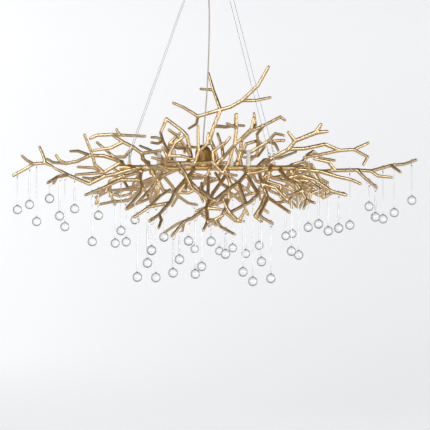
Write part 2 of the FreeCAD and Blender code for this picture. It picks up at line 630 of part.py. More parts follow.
def cable_points(corner):
    """Where a cable starts in its gripper, where it bends, and the top of the eye that it ends at."""
    side_x, side_y = CORNERS[corner]
    x, y = side_x * size("gripper_reach"), side_y * size("gripper_spread")
    top = Vector(x, y, CANOPY_FLOOR + size("canopy_wall") + size("gripper_height") - size("gripper_roof"))
    bend = Vector(x, y, CANOPY_FLOOR - size("cable_straight_length"))
    eye = Vector(rail_reach(side_x), side_y * size("eye_spread"), EYE_HEIGHT + size("eye_ring_radius"))
    return top, bend, eye


def loop_lift():
    """How far a cable's loop stands above the top of its eye."""
    return size("loop_radius") - size("loop_wire_radius") - size("eye_wire_radius") - size("link_gap")


# The power cord's route: how far it hangs from the middle, and how high, picked along the photograph's line.
CORD_ROUTE = [(0, -60), (3, -125), (2, -220), (-2, -330), (-9, -440), (-17, -520)]


# Building. A formula is text in which the name of a size stands for its cell.


def formula(text):
    """The sheet's expression for a formula."""
    return re.sub(r"[a-z_]+", lambda word: f"Sizes.{word[0]}" if word[0] in SIZES else word[0], text)


def number(text):
    """The value of a formula that adds up sizes and halves of sizes."""
    total = 0
    for sign, name, half in re.findall(r"([+-]?) ?([a-z_]+)( / 2)?", text):
        share = 1 / 2 if half else 1
        total += size(name) * (-share if sign == "-" else share)
    return total


def bind(item, **formulas):
    """Bind properties of an item to formulas; x, y and z are its place."""
    for name, text in formulas.items():
        name = f"Placement.Base.{name}" if name in "xyz" else name
        item.setExpression(name, formula(text))
    return item


def rod(name, radius, length, x="0", y="0", z="0", direction=UP):
    """A round bar or hole from a point, along a direction."""
    item = doc.addObject("Part::Cylinder", name)
    item.Placement.Rotation = FreeCAD.Rotation(UP, direction)
    return bind(item, Radius=radius, Height=length, x=x, y=y, z=z)


def block(name, length, width, height, x="0", y="0", z="0"):
    """A block whose lowest corner is at a point."""
    return bind(doc.addObject("Part::Box", name), Length=length, Width=width, Height=height, x=x, y=y, z=z)


def ball(name, radius, x="0", y="0", z="0"):
    return bind(doc.addObject("Part::Sphere", name), Radius=radius, x=x, y=y, z=z)


def fused(name, items):
    item = doc.addObject("Part::MultiFuse", name)
    item.Shapes = items
    return item


def together(name, items):
    """Pieces that stay separate solids in one node."""
    item = doc.addObject("Part::Compound", name)
    item.Links = items
    return item


def without(name, base, tool):
    item = doc.addObject("Part::Cut", name)
    item.Base = base
    item.Tool = tool
    return item


def shaped(name, shape):
    """A piece whose shape is worked out from the sheet's sizes."""
    item = doc.addObject("Part::Feature", name)
    item.Shape = shape
    item.Placement = FreeCAD.Placement()
    return item


def sketch_in(body, role, name):
    """A sketch on one of the body's own planes."""
    plane = next(feature for feature in body.Origin.OriginFeatures if feature.Role == role)
    sketch = body.newObject("Sketcher::SketchObject", name)
    sketch.AttachmentSupport = [(plane, "")]
    sketch.MapMode = "FlatFace"
    return sketch


def hold_point(sketch, geometry, end, x, y):
    """Hold one point of a sketch at a pair of formulas."""
    for kind, text, axis in (("DistanceX", x, -2), ("DistanceY", y, -1)):
        if text == "0":
            sketch.addConstraint(Sketcher.Constraint("PointOnObject", geometry, end, axis))
        else:
            index = sketch.addConstraint(Sketcher.Constraint(kind, -1, 1, geometry, end, number(text)))
            sketch.setExpression(f"Constraints[{index}]", formula(text))


def outline(sketch, corners):
    """A closed outline of straight lines between pairs of formulas."""
    first = sketch.GeometryCount
    points = [Vector(number(x), number(y), 0) for x, y in corners]
    for start, end in zip(points, points[1:] + points[:1]):
        sketch.addGeometry(Part.LineSegment(start, end), False)
    for i, (x, y) in enumerate(corners):
        before = first + (i - 1) % len(corners)
        sketch.addConstraint(Sketcher.Constraint("Coincident", before, 2, first + i, 1))
        hold_point(sketch, first + i, 1, x, y)


def circle(sketch, x, y, radius):
    """A circle whose middle and radius are formulas."""
    middle = Vector(number(x), number(y), 0)
    index = sketch.addGeometry(Part.Circle(middle, UP, number(radius)), False)
    hold_point(sketch, index, 3, x, y)
    constraint = sketch.addConstraint(Sketcher.Constraint("Radius", index, number(radius)))
    sketch.setExpression(f"Constraints[{constraint}]", formula(radius))


def body_of(name):
    body = doc.addObject("PartDesign::Body", name)
    doc.recompute()
    return body


def pad(body, sketch, length):
    item = body.newObject("PartDesign::Pad", sketch.Name + "_pad")
    item.Profile = sketch
    bind(item, Length=length)
    sketch.Visibility = False
    return item


def revolution(body, sketch):
    item = body.newObject("PartDesign::Revolution", sketch.Name + "_turned")
    item.Profile = sketch
    item.ReferenceAxis = (sketch, ["V_Axis"])
    item.Angle = 360
    return item


def cone(start, end, start_radius, end_radius):
    """A round bar from a point to a point, tapered if its radii differ."""
    along = end - start
    if start_radius == end_radius:
        return Part.makeCylinder(start_radius, along.Length, start, along)
    return Part.makeCone(start_radius, end_radius, along.Length, start, along)


def tube(points, radius):
    """A cable or cord along straight runs joined by tangent arcs."""
    corners = [Vector(*point) for point in points]
    edges, last, radii = [], corners[0], []
    for before, corner, after in zip(corners, corners[1:], corners[2:]):
        back, on = (before - corner), (after - corner)
        half_turn = (math.pi - back.getAngle(on)) / 2
        reach = BEND_SHARE * min(back.Length, on.Length)
        bend_radius = reach / math.tan(half_turn)
        start, end = corner + back.normalize() * reach, corner + on.normalize() * reach
        toward = (back + on).normalize()
        middle = corner + toward * (bend_radius / math.cos(half_turn) - bend_radius)
        edges.append(Part.LineSegment(last, start).toShape())
        edges.append(Part.Arc(start, middle, end).toShape())
        radii.append(bend_radius)
        last = end
    edges.append(Part.LineSegment(last, corners[-1]).toShape())
    path = Part.Wire(edges)
    section = Part.Wire([Part.makeCircle(radius, corners[0], corners[1] - corners[0])])
    solid = path.makePipeShell([section], True)
    share = solid.Volume / (math.pi * radius ** 2 * path.Length)
    print(f"tube {path.Length:.0f} long, bends", [round(bend) for bend in radii], f"volume share {share:.4f}")
    return solid


BEND_SHARE = 0.45


# Ceiling bracket: a steel strap with two screw holes to the ceiling and two stud holes
bracket_body = body_of("ceiling_bracket")
bracket_sketch = sketch_in(bracket_body, "XY_Plane", "bracket_outline")
half_width, half_length = "bracket_width / 2", "bracket_length / 2"
outline(bracket_sketch, [
    (f"-{half_width}", f"-{half_length}"), (half_width, f"-{half_length}"),
    (half_width, half_length), (f"-{half_width}", half_length),
])
for side in ("-", ""):
    circle(bracket_sketch, "0", f"{side}ceiling_hole_spacing / 2", "ceiling_hole_radius")
    circle(bracket_sketch, "0", f"{side}stud_spacing / 2", "stud_radius + thread_gap")
bracket_pad = pad(bracket_body, bracket_sketch, "bracket_thickness")
bracket_pad.Reversed = True

# Canopy: a spun steel cup with its open side to the ceiling
FLOOR = "-rim_gap - canopy_height"
canopy_body = body_of("ceiling_canopy")
canopy_sketch = sketch_in(canopy_body, "XZ_Plane", "canopy_profile")
outline(canopy_sketch, [
    ("0", FLOOR), ("canopy_radius - canopy_corner", FLOOR), ("canopy_radius", f"{FLOOR} + canopy_corner"),
    ("canopy_radius", "-rim_gap"), ("canopy_radius - canopy_wall", "-rim_gap"),
    ("canopy_radius - canopy_wall", f"{FLOOR} + canopy_corner"),
    ("canopy_radius - canopy_corner", f"{FLOOR} + canopy_wall"), ("0", f"{FLOOR} + canopy_wall"),
])
revolution(canopy_body, canopy_sketch)
hole_sketch = sketch_in(canopy_body, "XY_Plane", "canopy_holes")
circle(hole_sketch, "0", "0", "bush_neck_radius + thread_gap")
for side in ("-", ""):
    circle(hole_sketch, "0", f"{side}stud_spacing / 2", "stud_radius + thread_gap")
    for end in ("-", ""):
        circle(hole_sketch, f"{end}gripper_reach", f"{side}gripper_spread", "release_radius + slide_gap")
doc.recompute()
holes = canopy_body.newObject("PartDesign::Pocket", "canopy_holes_cut")
holes.Profile = hole_sketch
holes.Type = "ThroughAll"
holes.Midplane = True
canopy_body.Tip = holes

# Studs and cap nuts that hold the canopy
together("canopy_studs", [
    rod(f"stud_{i}", "stud_radius", "rim_gap + canopy_height + cap_nut_height - cap_nut_roof - stud_recess",
        y=f"{side}stud_spacing / 2", z="-rim_gap - canopy_height - cap_nut_height + cap_nut_roof")
    for i, side in enumerate(("-", ""))
])


def cap_nut(i, side):
    """A domed nut with a blind threaded hole."""
    y, bottom = f"{side}stud_spacing / 2", f"{FLOOR} - cap_nut_height"
    outside = doc.addObject("Part::MultiCommon", f"cap_nut_body_{i}")
    outside.Shapes = [
        rod(f"cap_nut_bar_{i}", "cap_nut_radius", "cap_nut_height", y=y, z=bottom),
        ball(f"cap_nut_dome_{i}", "cap_nut_height", y=y, z=FLOOR),
    ]
    hole = rod(f"cap_nut_hole_{i}", "stud_radius + thread_gap", "cap_nut_height - cap_nut_roof + overrun",
               y=y, z=f"{bottom} + cap_nut_roof")
    return without(f"cap_nut_{i}", outside, hole)


together("canopy_cap_nuts", [cap_nut(i, side) for i, side in enumerate(("-", ""))])

# Terminal blocks: one under the bracket, one on the hub plate. The wires run in the tube in front of its axis
# and above it, by these shares of their distance from it.
HUB_TOP_TEXT = "spine_radius - hub_plate_sink + hub_plate_thickness - spine_drop"
WIRE_FRONT_SHARE = -0.643
WIRE_UP_SHARE = 0.766
WIRE_Y = f"{WIRE_FRONT_SHARE} * wire_ring_radius"
WIRE_Z = f"{WIRE_UP_SHARE} * wire_ring_radius"
WIRE_HOLE = "wire_radius + wire_gap"
ceiling_block = block("ceiling_block", "block_length", "block_width", "block_height", "-block_length / 2",
                      "block_offset - block_width / 2", "-bracket_thickness - block_height")
hub_block_stock = block("hub_block_stock", "hub_block_length", "block_width", "block_height",
                        "-hub_offset - hub_block_length / 2", "-block_width / 2", HUB_TOP_TEXT)
hub_block_hole = rod("hub_block_hole", WIRE_HOLE, "wire_entry + wire_gap + overrun", x="wire_offset - hub_offset",
                     y=WIRE_Y, z=f"{HUB_TOP_TEXT} - overrun")
together("terminal_blocks", [ceiling_block, without("hub_block", hub_block_stock, hub_block_hole)])


def bush(name, x, plate_bottom, wall):
    """A cord bush: a flange under the plate, a neck through it and a nut above it."""
    neck = rod(f"{name}_neck", "bush_neck_radius", f"{wall} + bush_nut_height", x=x, z=plate_bottom)
    nut = rod(f"{name}_nut", "bush_flange_radius", "bush_nut_height", x=x, z=f"{plate_bottom} + {wall}")
    flange = rod(f"{name}_flange", "bush_flange_radius", "bush_flange_height", x=x,
                 z=f"{plate_bottom} - bush_flange_height")
    return fused(name, [neck, nut, flange])


# Cord bushes: the cord's ends meet the faces of their flanges
canopy_bush = bush("canopy_bush", "0", FLOOR, "canopy_wall")
DOME_ROOF = f"{HUB_TOP_TEXT} + dome_height - dome_wall"
dome_bush = fused("dome_bush", [
    rod("dome_bush_neck", "bush_neck_radius", "dome_wall * 2 + bush_nut_height", x="-hub_offset",
        z=f"{DOME_ROOF} - dome_wall - bush_nut_height"),
    rod("dome_bush_nut", "bush_flange_radius", "bush_nut_height", x="-hub_offset",
        z=f"{DOME_ROOF} - dome_wall - bush_nut_height"),
    rod("dome_bush_flange", "bush_flange_radius", "bush_flange_height", x="-hub_offset",
        z=f"{DOME_ROOF} + dome_wall"),
])
together("cord_bushes", [canopy_bush, dome_bush])

# Grippers: a barrel on the canopy's floor, in which the cable is held, and a sleeve that lets it go
BARREL_FOOT = f"{FLOOR} + canopy_wall"


def gripper(corner, x, y):
    barrel = rod(f"barrel_{corner}", "gripper_radius", "gripper_height", x=x, y=y, z=BARREL_FOOT)
    bore = rod(f"barrel_bore_{corner}", "release_radius + slide_gap",
               "gripper_height - gripper_roof + overrun", x=x, y=y, z=f"{BARREL_FOOT} - overrun")
    return without(f"gripper_{corner}", barrel, bore)


def release(corner, x, y):
    button_top = f"{FLOOR} - release_travel - slide_gap"
    button = rod(f"button_{corner}", "release_button_radius", "release_button_height", x=x, y=y,
                 z=f"{button_top} - release_button_height")
    sleeve = rod(f"sleeve_{corner}", "release_radius",
                 "canopy_wall + release_travel + slide_gap + release_grip_length", x=x, y=y, z=button_top)
    bore = rod(f"sleeve_bore_{corner}", "release_bore_radius", "canopy_height", x=x, y=y,
               z=f"{FLOOR} - canopy_height / 2")
    return without(f"release_{corner}", fused(f"release_body_{corner}", [button, sleeve]), bore)


corner_formulas = {
    corner: (f"{'-' if side_x < 0 else ''}gripper_reach", f"{'-' if side_y < 0 else ''}gripper_spread")
    for corner, (side_x, side_y) in CORNERS.items()
}
together("cable_grippers", [gripper(corner, *middle) for corner, middle in corner_formulas.items()])
together("gripper_releases", [release(corner, *middle) for corner, middle in corner_formulas.items()])

# Cables: each starts against its gripper's roof and ends in its ferrule
ferrules, eyes = [], []
for corner in CORNERS:
    top, bend, eye = cable_points(corner)
    up_cable = (bend - eye).normalize()
    loop_middle = eye + up_cable * loop_lift()
    ferrule_foot = loop_middle + up_cable * size("loop_radius")
    cable_end = ferrule_foot + up_cable * size("ferrule_length")
    shaped(f"cable_{corner}", tube([top, bend, cable_end], size("cable_radius")))
    across = (Vector(0, 1, 0) - up_cable * up_cable.y).normalize()
    loop = Part.makeTorus(size("loop_radius"), size("loop_wire_radius"), loop_middle, across)
    ferrule = Part.makeCylinder(size("ferrule_radius"), size("ferrule_length"), ferrule_foot, up_cable)
    ferrules.append(loop.fuse(ferrule))

    # Eye bolt: a ring over a neck with a shoulder, screwed down through the cross rail
    ring_middle = eye - UP * size("eye_ring_radius")
    shoulder_foot = Vector(eye.x, eye.y, RAIL_TOP)
    neck_foot = Vector(eye.x, eye.y, RAIL_BOTTOM)
    neck_length = ring_middle.z - size("eye_ring_radius") - RAIL_BOTTOM
    eyes.append(
        Part.makeTorus(size("eye_ring_radius"), size("eye_wire_radius"), ring_middle, Vector(1, 0, 0)).multiFuse([
            Part.makeCylinder(size("eye_shank_radius"), neck_length, neck_foot),
            Part.makeCylinder(size("eye_shoulder_radius"), size("eye_shoulder_height"), shoulder_foot),
        ])
    )
shaped("cable_ferrules", Part.makeCompound(ferrules))
shaped("eye_bolts", Part.makeCompound(eyes))

# Power cord, from the canopy's bush to the dome's
cord_top = (0, 0, CANOPY_FLOOR - size("bush_flange_height"))
cord_foot = (-size("hub_offset"), 0, DOME_TOP + size("bush_flange_height"))
cord_points = [cord_top] + [(x, 0, z) for x, z in CORD_ROUTE] + [cord_foot]
shaped("power_cord", tube(cord_points, size("cord_radius")))

# Carrying tube, drilled for the screws, the holders' nipples and the wires, with flats for the cross rails
AXIS = "-spine_drop"
TUBE_TOP = "spine_radius - spine_drop"
ALONG = Vector(1, 0, 0)
LAMPS = {
    "lamp_one": "-lamp_far_left_reach",
    "lamp_two": "-lamp_near_left_reach",
    "lamp_three": "lamp_near_right_reach",
    "lamp_four": "lamp_far_right_reach",
}
RAILS = {"left": "-rail_left_reach", "right": "rail_right_reach"}
HUB_SCREW = "-hub_offset - hub_screw_offset"
SCREW_HOLE = "screw_radius + thread_gap"
WIRE_PLACES = dict(LAMPS, hub="-hub_offset")


def tube_stock(name, radius):
    """A round bar on the tube's axis, longer than the tube."""
    return rod(name, radius, "spine_left_reach + spine_right_reach + 2 * overrun",
               x="-spine_left_reach - overrun", z=AXIS, direction=ALONG)


def seat_drill(casting, before, after, radius, end_radius=None):
    """A round bar across the tube on the line of a casting's screw, between two distances from the axis."""
    station, seat_degrees, _ = CASTINGS[casting]
    middle, toward = spine_point(station), seat_direction(seat_degrees)
    return cone(middle + toward * before, middle + toward * after, radius, end_radius or radius)


screw_seat = size("spine_radius") - size("screw_seat_depth")
spot_radius = size("screw_head_radius") + size("slide_gap")
drills = []
for name in CASTINGS:
    edge = size("spine_radius") + size("overrun")
    drills.append(seat_drill(name, -edge, edge, size("screw_radius") + size("thread_gap")))
    drills.append(seat_drill(name, -edge, -screw_seat, spot_radius))
screw_drills = shaped("screw_drills", Part.makeCompound(drills))
tube_holes = [
    rod(f"nipple_hole_{lamp}", "nipple_radius + thread_gap", "spine_radius + overrun", x=x, z=AXIS)
    for lamp, x in LAMPS.items()
]
tube_holes += [
    rod(f"wire_hole_{lamp}", WIRE_HOLE, "spine_radius + overrun", x=f"{x} + wire_offset", y=WIRE_Y, z=AXIS)
    for lamp, x in WIRE_PLACES.items()
]
tube_holes += [
    block(f"rail_flat_{side}", "rail_width + 2 * thread_gap", "2 * spine_radius", "rail_sink + overrun",
          f"{x} - rail_width / 2 - thread_gap", "-spine_radius", f"{TUBE_TOP} - rail_sink")
    for side, x in RAILS.items()
]
tube_holes += [
    rod(f"tube_tap_{i}", SCREW_HOLE, "spine_radius + overrun", x=x, z=AXIS)
    for i, x in enumerate([*RAILS.values(), HUB_SCREW])
]
tube_bar = rod("tube_bar", "spine_radius", "spine_left_reach + spine_right_reach", x="-spine_left_reach", z=AXIS,
               direction=ALONG)
hollow_tube = without("hollow_tube", tube_bar, tube_stock("tube_bore", "spine_bore_radius"))
drilled_tube = without("drilled_tube", hollow_tube, screw_drills)
without("carrying_tube", drilled_tube, fused("tube_holes", tube_holes))

# End plugs
END_PLUGS = {
    "left": ("-spine_left_reach", "-spine_left_reach - end_plug_rim"),
    "right": ("spine_right_reach - end_plug_length", "spine_right_reach"),
}
plugs = []
for side, (plug_x, rim_x) in END_PLUGS.items():
    inside = rod(f"plug_{side}", "spine_bore_radius - thread_gap", "end_plug_length", x=plug_x, z=AXIS,
                 direction=ALONG)
    rim = rod(f"rim_{side}", "spine_radius", "end_plug_rim", x=rim_x, z=AXIS, direction=ALONG)
    plugs.append(fused(f"end_plug_{side}", [inside, rim]))
together("end_plugs", plugs)

# Cross rails: flat bars on the tube's flats, drilled for the eye bolts and one screw
rails = []
for side, x in RAILS.items():
    bar = block(f"rail_bar_{side}", "rail_width", "2 * rail_half_length", "rail_thickness",
                f"{x} - rail_width / 2", "-rail_half_length", f"{TUBE_TOP} - rail_sink")
    rail_holes = [
        rod(f"eye_hole_{side}_{end}", "eye_shank_radius + thread_gap", "rail_thickness + 2 * overrun", x=x,
            y=f"{sign}eye_spread", z=f"{TUBE_TOP} - rail_sink - overrun")
        for end, sign in (("front", "-"), ("back", ""))
    ]
    rail_holes.append(rod(f"rail_hole_{side}", SCREW_HOLE, "rail_thickness + 2 * overrun", x=x,
                          z=f"{TUBE_TOP} - rail_sink - overrun"))
    rails.append(without(f"rail_{side}", bar, fused(f"rail_holes_{side}", rail_holes)))
together("cross_rails", rails)

# Hub plate, saddled on the tube, and the dome that stands on it
plate_disc = rod("plate_disc", "hub_plate_radius", "hub_plate_thickness", x="-hub_offset",
                 z=f"{TUBE_TOP} - hub_plate_sink")
plate_holes = fused("plate_holes", [
    tube_stock("plate_saddle", "spine_radius + seat_gap"),
    rod("plate_tap", SCREW_HOLE, "hub_plate_thickness + overrun", x=HUB_SCREW, z=f"{TUBE_TOP} - hub_plate_sink"),
    rod("plate_wire_hole", WIRE_HOLE, "hub_plate_thickness + overrun", x="wire_offset - hub_offset", y=WIRE_Y,
        z=f"{TUBE_TOP} - hub_plate_sink"),
])
without("hub_plate", plate_disc, plate_holes)


def dome_form(name, radius):
    """A round bar with a half ball on it, standing on the hub plate."""
    straight = "dome_height - dome_radius"
    return fused(name, [
        rod(f"{name}_bar", radius, straight, x="-hub_offset", z=HUB_TOP_TEXT),
        ball(f"{name}_ball", radius, x="-hub_offset", z=f"{HUB_TOP_TEXT} + {straight}"),
    ])


dome_outside = dome_form("dome_outside", "dome_radius")
dome_inside = dome_form("dome_inside", "dome_radius - dome_wall")
dome_hole = rod("dome_hole", "bush_neck_radius + thread_gap", "dome_height + overrun", x="-hub_offset",
                z=HUB_TOP_TEXT)
without("hub_dome", dome_outside, fused("dome_hollow", [dome_inside, dome_hole]))

# Lamp holders: ceramic, saddled on the tube, each with a nipple into it and two sockets for the lamp's pins
HOLDER_FOOT = f"{TUBE_TOP} - holder_sink"
HOLDER_TOP = f"{HOLDER_FOOT} + holder_height"
holders = []
for lamp, x in LAMPS.items():
    stock = rod(f"holder_bar_{lamp}", "holder_radius", "holder_height", x=x, z=HOLDER_FOOT)
    hollow = [tube_stock(f"holder_saddle_{lamp}", "spine_radius + seat_gap")]
    hollow.append(rod(f"holder_wire_hole_{lamp}", WIRE_HOLE, "holder_sink + wire_entry + wire_gap",
                      x=f"{x} + wire_offset", y=WIRE_Y, z=HOLDER_FOOT))
    for side in ("-", ""):
        hollow.append(rod(f"socket_{lamp}_{'front' if side else 'back'}", "pin_radius + pin_gap",
                          "pin_length + pin_gap + overrun", x=x, y=f"{side}pin_spacing / 2",
                          z=f"{HOLDER_TOP} - pin_length - pin_gap"))
    seated = without(f"seated_holder_{lamp}", stock, fused(f"holder_hollow_{lamp}", hollow))
    nipple = rod(f"nipple_{lamp}", "nipple_radius", "nipple_length + holder_sink", x=x,
                 z=f"{TUBE_TOP} - nipple_length")
    holders.append(fused(f"holder_{lamp}", [seated, nipple]))
together("lamp_holders", holders)

# Lamps: each has a base, a frosted capsule and two pins
for lamp, x in LAMPS.items():
    straight = "lamp_length - lamp_base_height - lamp_bulb_radius"
    pieces = [
        rod(f"{lamp}_base", "lamp_base_radius", "lamp_base_height", x=x, z=HOLDER_TOP),
        rod(f"{lamp}_capsule", "lamp_bulb_radius", straight, x=x, z=f"{HOLDER_TOP} + lamp_base_height"),
        ball(f"{lamp}_tip", "lamp_bulb_radius", x=x, z=f"{HOLDER_TOP} + lamp_base_height + {straight}"),
    ]
    for side in ("-", ""):
        pieces.append(rod(f"{lamp}_pin_{'front' if side else 'back'}", "pin_radius", "pin_length + pin_length / 2",
                          x=x, y=f"{side}pin_spacing / 2", z=f"{HOLDER_TOP} - pin_length"))
    fused(lamp, pieces)

# Wires: one pair in the tube, shown as one wire, with a branch up into each holder and one into the hub's block
wires = [rod("wire_run", "wire_radius", "lamp_far_left_reach + lamp_far_right_reach",
             x="wire_offset - lamp_far_left_reach", y=WIRE_Y, z=f"{WIRE_Z} - spine_drop", direction=ALONG)]
for lamp, x in WIRE_PLACES.items():
    rise = "hub_plate_thickness - hub_plate_sink" if lamp == "hub" else "0"
    wires.append(rod(f"wire_branch_{lamp}", "wire_radius", f"spine_radius + {rise} + wire_entry - {WIRE_Z}",
                     x=f"{x} + wire_offset", y=WIRE_Y, z=f"{WIRE_Z} - spine_drop"))
fused("lamp_wires", wires)

# Screws: one through the tube into each casting, and one down through each cross rail and the hub plate
screws = []
for name in CASTINGS:
    shank = seat_drill(name, -screw_seat, size("spine_radius") + size("screw_bite"), size("screw_radius"))
    head = seat_drill(name, -screw_seat - size("screw_head_height"), -screw_seat, size("screw_head_radius"))
    screws.append(shank.fuse(head))
casting_screws = shaped("casting_screws", Part.makeCompound(screws))
top_screws = []
for i, (x, seat) in enumerate([
    (RAILS["left"], f"{TUBE_TOP} - rail_sink + rail_thickness"),
    (RAILS["right"], f"{TUBE_TOP} - rail_sink + rail_thickness"),
    (HUB_SCREW, HUB_TOP_TEXT),
]):
    shank = rod(f"top_shank_{i}", "screw_radius", "rail_thickness + screw_bite / 2", x=x,
                z=f"{seat} - rail_thickness - screw_bite / 2")
    head = rod(f"top_head_{i}", "screw_head_radius", "screw_head_height", x=x, z=seat)
    top_screws.append(fused(f"top_screw_{i}", [shank, head]))
together("bar_screws", [casting_screws, *top_screws])

# Castings: tapered round twigs, thicker at each bend and fork, from a boss that is cut to sit on the tube
BEND_SWELL_SHARE = 1.03
FORK_SWELL_SHARE = 1.1
tube_seat = Part.makeCylinder(
    size("spine_radius") + size("seat_gap"), size("branch_span"),
    Vector(-size("branch_span") / 2, 0, -size("spine_drop")), ALONG,
)


def casting(name):
    """One branch of the lamp, cast in one piece: the axis of each knot's ball follows its twig."""
    forks = {(parent, knot) for parent, knot, _, _ in CASTINGS[name][2]}
    boss_top = size("spine_radius") + size("boss_height")
    pieces = [seat_drill(name, boss_top, boss_top + size("boss_crown_height"), size("boss_radius"),
                         size("boss_crown_radius"))]
    for twig, runs in enumerate(twig_runs(name)):
        onward = [(end - start).normalize() for start, end, _, _ in runs]
        for run, (start, end, start_radius, end_radius) in enumerate(runs):
            swell = FORK_SWELL_SHARE if (twig, run + 1) in forks else BEND_SWELL_SHARE
            axis = onward[run] + onward[min(run + 1, len(runs) - 1)]
            pieces.append(cone(start, end, start_radius, end_radius))
            pieces.append(Part.makeSphere(end_radius * swell, end, axis))
    boss = seat_drill(name, 0, boss_top, size("boss_radius"))
    solid = boss.multiFuse(pieces).removeSplitter()
    hole_end = size("spine_radius") + size("screw_bite") + size("stud_recess")
    hole = seat_drill(name, 0, hole_end, size("screw_radius") + size("thread_gap"))
    if len(solid.Solids) != 1 or solid.Volume < sum(piece.Volume for piece in pieces) / 2:
        raise RuntimeError(f"{name} is not one whole solid")
    return solid.cut(tube_seat).cut(hole)


for name in TWIG_NODES:
    family = [casting(member) for member in (name, f"{name}_inner") if member in CASTINGS]
    shaped(name, family[0] if len(family) == 1 else Part.makeCompound(family))

# Drops: each is a hook, a stem and a ball in one piece of clear glass
WHOLE_TURN_DEGREES = 360
HOOK_SWEEP_DEGREES = 300
NECK_START_SHARE = 0.9
SPINDLE_PLACE_SHARE = 0.35
HOOK_JOINT_SHARE = 1.2


def drop(hang):
    """One drop of a group, hooked over its twig."""
    point = hang["point"]
    ring_middle = Vector(point.x, point.y, hang["hook_top"] - hang["hook_radius"])
    ball_middle = Vector(point.x, point.y, hang["ball_height"])
    stem_top = ring_middle - UP * hang["hook_radius"]
    neck_start = ball_middle + UP * size("ball_radius") * NECK_START_SHARE
    neck_end = neck_start + UP * size("neck_length")
    hook = Part.makeTorus(hang["hook_radius"], size("hook_wire_radius"), Vector(), UP, 0, WHOLE_TURN_DEGREES,
                          HOOK_SWEEP_DEGREES)
    hook.Placement = FreeCAD.Placement(ring_middle, FreeCAD.Rotation(-UP, Vector(), hang["level"], "ZXY"))
    stem_radius = size("stem_radius")
    pieces = [hook, Part.makeSphere(stem_radius * HOOK_JOINT_SHARE, stem_top)]
    pieces.append(cone(neck_start, neck_end, size("neck_radius"), stem_radius))
    if hang["spindle"]:
        belly = neck_end + (stem_top - neck_end) * SPINDLE_PLACE_SHARE
        pieces.append(cone(neck_end, belly, stem_radius, size("spindle_radius")))
        pieces.append(cone(belly, stem_top, size("spindle_radius"), stem_radius))
    else:
        pieces.append(cone(neck_end, stem_top, stem_radius, stem_radius))
    return Part.makeSphere(size("ball_radius"), ball_middle).multiFuse(pieces)


for name in DROPS:
    shaped(name, Part.makeCompound([drop(hang) for hang in group_hangs(name)]))

# Every node by its name, checked and written
NODES = [
    "ceiling_bracket", "canopy_studs", "ceiling_canopy", "canopy_cap_nuts", "terminal_blocks", "cord_bushes",
    "cable_grippers", "gripper_releases", "power_cord", "cable_ferrules", "eye_bolts", "carrying_tube", "end_plugs",
    "cross_rails", "hub_plate", "hub_dome", "lamp_holders", "lamp_wires", "bar_screws",
    *[f"cable_{corner}" for corner in CORNERS], *LAMPS, *TWIG_NODES, *DROPS,
]
doc.recompute()
for item in doc.Objects:
    if "Invalid" in item.State or "Error" in item.State:
        raise RuntimeError(f"{item.Name} did not build")
for name in NODES:
    node = doc.getObject(name)
    node.Label = name
    if node.Shape.isNull() or not node.Shape.isValid():
        raise RuntimeError(f"{name} has no valid shape")
for name in NODES:
    doc.getObject(name).Shape.exportStep(f"parts/{name}.step")
print(len(NODES), "nodes written")
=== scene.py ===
import bpy, bmesh, json, math
import numpy as np
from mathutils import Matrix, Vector

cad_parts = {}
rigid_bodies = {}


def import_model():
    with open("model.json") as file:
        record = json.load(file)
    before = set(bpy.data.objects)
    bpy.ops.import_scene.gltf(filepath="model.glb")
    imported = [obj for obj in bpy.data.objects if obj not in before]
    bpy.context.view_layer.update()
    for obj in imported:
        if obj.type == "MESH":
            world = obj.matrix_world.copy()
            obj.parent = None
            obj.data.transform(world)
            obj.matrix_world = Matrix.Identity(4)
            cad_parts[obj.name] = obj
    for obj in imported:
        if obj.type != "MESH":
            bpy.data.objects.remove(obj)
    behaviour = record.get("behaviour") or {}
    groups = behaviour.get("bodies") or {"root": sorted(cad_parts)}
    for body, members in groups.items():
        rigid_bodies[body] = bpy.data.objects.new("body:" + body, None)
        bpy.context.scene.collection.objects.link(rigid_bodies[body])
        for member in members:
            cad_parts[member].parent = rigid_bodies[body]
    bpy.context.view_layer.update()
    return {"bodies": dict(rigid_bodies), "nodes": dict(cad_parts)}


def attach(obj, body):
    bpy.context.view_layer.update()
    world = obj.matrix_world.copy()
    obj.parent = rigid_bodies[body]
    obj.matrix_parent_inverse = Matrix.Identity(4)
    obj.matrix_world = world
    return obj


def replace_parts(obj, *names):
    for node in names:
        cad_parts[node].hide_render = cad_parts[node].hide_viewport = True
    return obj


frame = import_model()
nodes = frame["nodes"]
mm = 0.001

# Camera: level, a little from the left of the lamp's middle
camera = {
    "place": (-0.1743, -3.1953, -0.780),
    "turnDegrees": 3.5,
    "focalPixels": 984.6,
    "picturePixels": 430,
    "sensorMm": 36,
    "farClip": 50,
}
cameraData = bpy.data.cameras.new("camera")
cameraData.sensor_width = camera["sensorMm"]
cameraData.lens = camera["focalPixels"] / camera["picturePixels"] * camera["sensorMm"]
cameraData.clip_end = camera["farClip"]
cameraObject = bpy.data.objects.new("camera", cameraData)
cameraObject.location = camera["place"]
cameraObject.rotation_euler = (math.radians(90), 0, math.radians(-camera["turnDegrees"]))
bpy.context.collection.objects.link(cameraObject)
bpy.context.scene.camera = cameraObject


def link(name, data):
    made = bpy.data.objects.new(name, data)
    bpy.context.collection.objects.link(made)
    return made


# Materials
def linear(hexColour):
    parts = [int(hexColour[i:i + 2], 16) / 255 for i in (1, 3, 5)]
    return tuple(c / 12.92 if c <= 0.04045 else ((c + 0.055) / 1.055) ** 2.4 for c in parts) + (1,)


